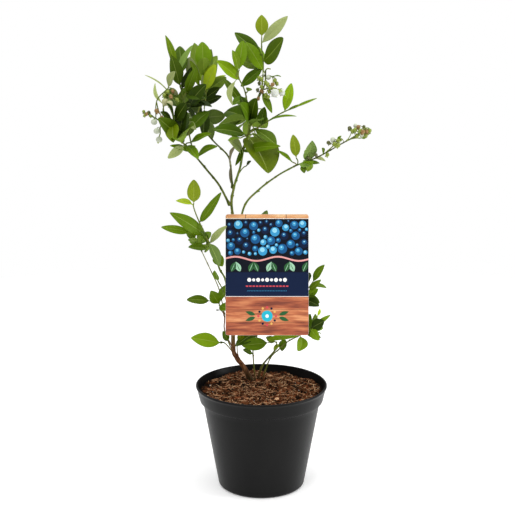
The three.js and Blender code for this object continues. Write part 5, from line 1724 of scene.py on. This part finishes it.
def print_boards(mesh):
    """Boards laid across the card's foot, and a strip of pale ones along its top."""
    low, high = from_top(CARD.height - LABEL.inset), from_top(LABEL.band_foot + LABEL.rule)
    edges = np.linspace(low, high, 4)
    for k, board in enumerate(("red_board", "warm_board", "red_board")):
        gap = 0.25 if k < 2 else 0
        add_print(mesh, rounded_field(edges[k], edges[k + 1] - gap, foot=k == 0), 1.5, board)
    add_print(mesh, rounded_field(low, high, foot=True), 1, "night")
    top = from_top(LABEL.inset)
    add_print(mesh, rounded_field(from_top(LABEL.strip), top, top=True), 1, "pale_board")
    for x in (-27, 24):
        add_print(mesh, bar(x, 0.3, from_top(LABEL.strip), top), 1.5, "night")


def board_ink(name, tones):
    """Printed wood: grain that runs along the board."""
    material = finish_of(name, tones[1], 0.42)
    tinted(material, speckle(material, 260, (0.12, 1, 1), 6), (0.34, 0.5, 0.66), tones)
    return material


def card_stock():
    """White coated card with the faintest mottle."""
    material = finish_of("card_stock", (242, 242, 240), 0.38)
    tinted(material, speckle(material, 500), (0.35, 0.65), ((236, 236, 233), (248, 248, 246)))
    bumped(material, speckle(material, 3000, detail=3), 0.02, 0.4)
    return material


def make_label():
    """The card keeps its solid and gets its print; the tie is a soft band with a strap."""
    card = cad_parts["label_card"]
    stock = card_stock()
    for material_slot in card.material_slots:
        material_slot.material = stock
    mesh = Mesh()
    print_picture(mesh)
    print_band(mesh)
    print_boards(mesh)
    print_sprig(mesh)
    inks = [finish_of(f"ink_{name}", colour, 0.4, Specular_IOR_Level=0.2)
            for name, colour in INK.items()]
    boards = [board_ink(name, tones) for name, tones in BOARD.items()]
    mesh.piece("label_print", "label", [*inks, *boards], (), 30)
    make_tie()


TIE_SECTION = [(0.12, -0.5), (0.88, -0.5), (1, -0.42), (1, 0.42), (0.88, 0.5), (0.12, 0.5), (0, 0.42),
               (0, -0.42)]
TIE_LOOK = Named(sides=40, strap_points=12, strap_sides=16, squareness=0.4, clear=0.3, marks=200)


def add_band(mesh, middle, axis, inner):
    """A flat band with eased edges round a stem."""
    across = square_to(X, axis)
    beside = np.cross(axis, across)
    angle = turns(TIE_LOOK.sides)
    spokes = np.cos(angle)[:, None] * across + np.sin(angle)[:, None] * beside
    rings = np.array([[middle + spoke * (inner + u * TIE.thickness) + axis * w * TIE.width
                       for u, w in TIE_SECTION] for spoke in spokes])
    wide = len(TIE_SECTION)
    i, j = np.meshgrid(np.arange(TIE_LOOK.sides), np.arange(wide), indexing="ij")
    next_i, next_j = (i + 1) % TIE_LOOK.sides, (j + 1) % wide
    quads = [i * wide + j, next_i * wide + j, next_i * wide + next_j, i * wide + next_j]
    mesh.add(rings, list(np.stack(quads, -1).reshape(-1, 4)), 0)


def add_strap(mesh, x, front):
    """A strap with eased edges from the band's front to the back of the card."""
    lean = math.radians(CARD.lean)
    rise = TIE.height - CARD.centre[2]
    back_y = CARD.centre[1] + CARD.thickness / math.cos(lean) + rise * math.tan(lean)
    count = TIE_LOOK.strap_points
    y = np.linspace(front, back_y - TIE_LOOK.clear, count)
    line = np.stack([np.full(count, x), y, np.full(count, TIE.height)], -1)
    angle = turns(TIE_LOOK.strap_sides)
    cos, sin = np.cos(angle), np.sin(angle)
    round_x = np.sign(cos) * np.abs(cos) ** TIE_LOOK.squareness * TIE.strap / 2
    round_z = np.sign(sin) * np.abs(sin) ** TIE_LOOK.squareness * TIE.strap_height / 2
    strap = line[:, None] + np.stack([round_x, 0 * angle, round_z], -1)[None]
    mesh.add_spindle(strap, line[0], line[-1])


def make_tie():
    """A soft green band round the main stem, with a strap to the back of the card."""
    stem = limbs["main_stem"]
    shares = np.linspace(0, 1, TIE_LOOK.marks)
    t = shares[np.argmax(stem.route.at(shares)[:, 2] > TIE.height)]
    middle = stem.route.at(t)
    inner = mix(stem.foot_radius, stem.tip_radius, t) + GAP
    mesh = Mesh()
    add_band(mesh, middle, stem.route.along(t), inner)
    add_strap(mesh, middle[0], middle[1] - inner - TIE.thickness / 2)
    rubber = finish_of("soft_tie", (96, 118, 62), 0.62)
    tinted(rubber, speckle(rubber, 600), (0.35, 0.65), ((88, 110, 56), (106, 128, 70)))
    mesh.piece("soft_tie", "tie", [rubber], ["label_tie"], 45)


# ---- Foliage by tone -------------------------------------------------------------------------

# Leaf tones. The dark tone is partly the deep green of older leaves and partly painted shade: it goes
# mostly to leaves at the back and inside the crown, where shade falls.
TONES = {
    "bright": (146, 166, 30),
    "fresh": (114, 144, 8),
    "mid": (90, 118, 6),
    "moss": (78, 104, 2),
    "dull": (108, 134, 60),
    "deep": (66, 92, 0),
    "dark": (42, 60, 2),
    "olive": (87, 105, 2),
    "pale": (160, 172, 108),
    "withered": (128, 120, 92),
}
UNDER_TINT, RIB_TINT = (130, 150, 78), (160, 172, 70)
TINT_SHARE = 0.45
LEAF_SHINE = 0.12


def leaf_finishes(tone, colour):
    """The blade's three shades, its paler under side and its rib, for the leaves of one tone."""
    paler, rib = (tuple(mix(value, other, TINT_SHARE) for value, other in zip(colour, tint))
                  for tint in (UNDER_TINT, RIB_TINT))
    blades = [finish_of(f"leaf_{tone}_{k}", colour, 0.5, light, Specular_IOR_Level=LEAF_SHINE)
              for k, light in enumerate(SHADES)]
    under = finish_of(f"leaf_{tone}_under", paler, 0.65, Specular_IOR_Level=LEAF_SHINE)
    return [*blades, under, finish_of(f"leaf_{tone}_rib", rib, 0.5)]


# Seeds of the random draws. Each limb has its own, from LIMBS_SEED on.
LEAVES_SEED, TWIGS_SEED, BLOOMS_SEED, LIMBS_SEED = 5, 8, 9, 31


def make_leaves():
    """Every leaf of every mass, joined by tone."""
    rng = np.random.default_rng(LEAVES_SEED)
    sprays = {tone: Mesh() for tone in TONES}
    held = {tone: set() for tone in TONES}
    for mass in [*masses, sprouts]:
        for leaf in mass.kept:
            add_leaf(sprays[leaf.tone], leaf, rng)
            held[leaf.tone].add(mass.name)
    for tone, spray in sprays.items():
        if spray.count:
            nodes = sorted(held[tone] & MASSES.keys())
            spray.piece(f"leaves_{tone}", "foliage", leaf_finishes(tone, TONES[tone]), nodes)


BARK_SHINE = 0.15
BARK_PLACES = (0.3, 0.5, 0.66)
RED_BROWN = ((66, 40, 26), (116, 76, 50), (150, 112, 82))
OLIVE_BROWN = ((52, 62, 16), (80, 92, 30), (104, 110, 44))
DRY_OLIVE = ((84, 84, 44), (120, 122, 70), (150, 146, 100))


def green_bark():
    """Young bark: yellow green, flushed with brown in streaks."""
    material = finish_of("green_bark", (100, 118, 44), 0.55, Specular_IOR_Level=BARK_SHINE)
    streaks = speckle(material, 300, (1, 1, 0.25))
    tinted(material, streaks, (0.35, 0.52, 0.72), ((86, 106, 36), (108, 124, 48), (124, 112, 56)))
    bumped(material, speckle(material, 900, (1, 1, 0.3)), 0.15, 0.6)
    return material


def bark_streaks(material):
    """Noise drawn out along a stem."""
    return speckle(material, 420, (1, 1, 0.22), 6)


def brown_bark(name, tones, light=1.0):
    """Older bark, finely cracked along its length."""
    material = finish_of(name, tones[1], 0.8, Specular_IOR_Level=BARK_SHINE)
    tinted(material, bark_streaks(material), BARK_PLACES, tones, light)
    bumped(material, speckle(material, 1300, (1, 1, 0.25), 5), 0.3, 0.9)
    return material


# Heights between which the bark turns from dark at the ground to brown, and the tones of rising bark.
FOOT_BARK = (130, 152)
FOOT_TONES = ((30, 24, 10), (56, 46, 22), (80, 66, 38))
LOW_TONES = ((74, 42, 26), (124, 78, 48), (156, 112, 76))
HIGH_TONES = ((82, 98, 34), (110, 122, 50), (130, 116, 62))
HIGH_PLACES = (0.32, 0.5, 0.7)


def rising_bark(name, low, high):
    """Bark that is dark at the ground, brown above it and turns green higher up."""
    material = finish_of(name, (112, 100, 52), 0.7, Specular_IOR_Level=BARK_SHINE)
    streaks = bark_streaks(material)
    brown = ramp(material, streaks, BARK_PLACES, LOW_TONES)
    green = ramp(material, streaks, HIGH_PLACES, HIGH_TONES)
    foot = ramp(material, streaks, BARK_PLACES, FOOT_TONES)
    low_bark = blended(material, by_height(material, *FOOT_BARK), foot, brown)
    paint(material, "Base Color", blended(material, by_height(material, low, high), low_bark, green))
    bumped(material, speckle(material, 1200, (1, 1, 0.25), 5), 0.25, 0.8)
    return material


OLD_STEMS = ("main_stem", "side_twig", "dry_twig", "right_low_stem", "right_low_twig", "mid_shoot")


def make_limbs():
    """Each stem and bough, with the bark of its age."""
    green = green_bark()
    brown = brown_bark("brown_bark", RED_BROWN)
    dry = brown_bark("dry_bark", DRY_OLIVE)
    old = brown_bark("old_bark", OLIVE_BROWN)
    finishes = {
        "main_stem": rising_bark("main_bark", 165, 250),
        "side_twig": brown,
        "dry_twig": dry,
        "left_bough": old,
        "upper_left_bough": old,
        "right_low_stem": rising_bark("right_low_bark", 134, 150),
        "right_low_twig": rising_bark("right_twig_bark", 134, 152),
        "mid_shoot": rising_bark("mid_shoot_bark", 134, 152),
    }
    for k, one in enumerate(limbs.values()):
        finish = finishes.get(one.name, green)
        slot = "bark" if one.name in OLD_STEMS else "green_bark"
        limb_mesh(one, LIMBS_SEED + k).piece(f"{one.name}_bark", slot, [finish], [one.name])


YOUNG, WOODY, AT_FOOT = range(3)
WOODY_STEMS = ("blossom_twig", "right_arm", "left_bloom", "dry_tip")


def twig_bark(mass_name, is_stem):
    """Which bark a twig has: woody on some masses' stems and all of the dry tip."""
    if mass_name == "foot_leaves":
        return AT_FOOT
    if mass_name == "dry_tip" or (is_stem and mass_name in WOODY_STEMS):
        return WOODY
    return YOUNG


def make_twigs():
    """The twigs of all masses as one piece, in three barks."""
    rng = np.random.default_rng(TWIGS_SEED)
    mesh = Mesh()
    for mass in [*masses, sprouts]:
        for k, twig in enumerate(mass.twigs):
            is_stem = k == 0
            add_twig(mesh, twig, twig_bark(mass.name, is_stem), rng)
    finishes = [green_bark(), brown_bark("twig_bark", OLIVE_BROWN, 0.8), rising_bark("foot_bark", 172, 184)]
    mesh.piece("twigs", "green_bark", finishes, [mass.name for mass in masses])


def make_blooms():
    """Bells, buds and set cups on their stalks."""
    rng = np.random.default_rng(BLOOMS_SEED)
    mesh = Mesh()
    rooting = np.linspace(0.1, 1, 60)
    for mass in masses:
        twig_marks = np.concatenate([twig.route.at(rooting) for twig in mass.twigs])
        for kind, centre, wide in BLOOMS.get(mass.name, ()):
            add_bloom(mesh, kind, np.array(centre, float), wide, twig_marks, rng)
    # In the order of their numbers, WHITE to FADED.
    finishes = [
        finish_of("corolla", (210, 210, 198), 0.5, Subsurface_Weight=0.12),
        finish_of("calyx", (112, 132, 50), 0.5),
        finish_of("flower_stalk", (116, 128, 48), 0.5),
        finish_of("green_cup", (126, 142, 42), 0.45),
        finish_of("flushed_cup", (138, 104, 54), 0.5),
        finish_of("dusky_cup", (84, 88, 38), 0.5),
        finish_of("pale_cup", (190, 196, 174), 0.5),
        finish_of("faded_bell", (168, 168, 122), 0.5),
    ]
    mesh.piece("blooms", "foliage", finishes, BLOOMS)


# ---- Camera, light and floor -----------------------------------------------------------------

CAMERA = Named(place=(-5.07, -1417.24, 613.29), down=12.33, lens=80, sensor=36, reach=50)
FLOOR = Named(radius=1.3, sides=96, glow=0.2)
FILL = 0.42
CHOICE_FIRST, CHOICE_SECOND = 1, 2


def point_at(thing, target):
    """Turns a camera or light to look at a place."""
    way = np.array(target) - np.array(thing.location)
    flat = math.hypot(way[0], way[1])
    thing.rotation_euler = (math.atan2(flat, -way[2]), 0, math.atan2(-way[0], way[1]))


def add_camera():
    """The photographer's view: from far in front, a little above, with a long lens."""
    lens = bpy.data.cameras.new("camera")
    lens.lens = CAMERA.lens
    lens.sensor_width = CAMERA.sensor
    lens.clip_end = CAMERA.reach
    camera = bpy.data.objects.new("camera", lens)
    camera.location = [value * MM for value in CAMERA.place]
    camera.rotation_euler = (math.radians(90 - CAMERA.down), 0, 0)
    put_in_scene(camera)
    bpy.context.scene.camera = camera


def add_softbox(name, place, target, size, power):
    """A white rectangular light, its place, target and size in metres."""
    light = bpy.data.lights.new(name, "AREA")
    light.shape = "RECTANGLE"
    light.size, light.size_y = size
    light.energy = power
    lamp = bpy.data.objects.new(name, light)
    lamp.location = place
    point_at(lamp, target)
    put_in_scene(lamp)


def add_floor():
    """A plain pale floor, a round disc under the pot."""
    angle = turns(FLOOR.sides)
    ring = np.stack([np.cos(angle), np.sin(angle), 0 * angle], -1)
    data = bpy.data.meshes.new("floor")
    data.from_pydata(ring * FLOOR.radius, [], [list(range(FLOOR.sides))])
    data.materials.append(finish_of("floor_pale", (250, 250, 250), 0.9, Specular_IOR_Level=0.0,
                                    Emission_Color=(1, 1, 1, 1), Emission_Strength=FLOOR.glow))
    floor = bpy.data.objects.new("floor", data)
    put_in_scene(floor)


def add_sky():
    """A white backdrop that lights the plant only softly."""
    world = bpy.data.worlds.new("studio")
    world.use_nodes = True
    tree = world.node_tree
    fill = tree.nodes["Background"]
    fill.inputs["Color"].default_value = (1, 1, 1, 1)
    fill.inputs["Strength"].default_value = FILL
    backdrop = tree.nodes.new("ShaderNodeBackground")
    seen = tree.nodes.new("ShaderNodeLightPath")
    choice = tree.nodes.new("ShaderNodeMixShader")
    tree.links.new(seen.outputs["Is Camera Ray"], choice.inputs["Fac"])
    tree.links.new(fill.outputs["Background"], choice.inputs[CHOICE_FIRST])
    tree.links.new(backdrop.outputs["Background"], choice.inputs[CHOICE_SECOND])
    tree.links.new(choice.outputs["Shader"], tree.nodes["World Output"].inputs["Surface"])
    backdrop.inputs["Color"].default_value = (1, 1, 1, 1)
    bpy.context.scene.world = world
    bpy.context.scene.view_settings.view_transform = "Standard"


# Lights: name, place, target, size and power.
LIGHTS = (
    ("overhead", (0, 0, 2.0), (0, 0.001, 0), (2.6, 2.6), 40),
    ("key", (-0.8, -1.7, 1.75), (0, 0, 0.35), (0.9, 0.9), 14),
    ("right_strip", (1.3, -0.35, 0.4), (0, 0, 0.1), (0.35, 1.2), 11),
    ("left_strip", (-1.3, 0.1, 0.4), (0, 0, 0.1), (0.25, 1.2), 0.3),
)


def light_studio():
    """A wide softbox overhead, a key from the upper left and a tall strip on either side."""
    for light in LIGHTS:
        add_softbox(*light)


# ---- Making ----------------------------------------------------------------------------------

add_camera()
add_sky()
light_studio()
add_floor()
make_pot()
make_compost()
make_limbs()
make_twigs()
make_leaves()
make_blooms()
make_label()
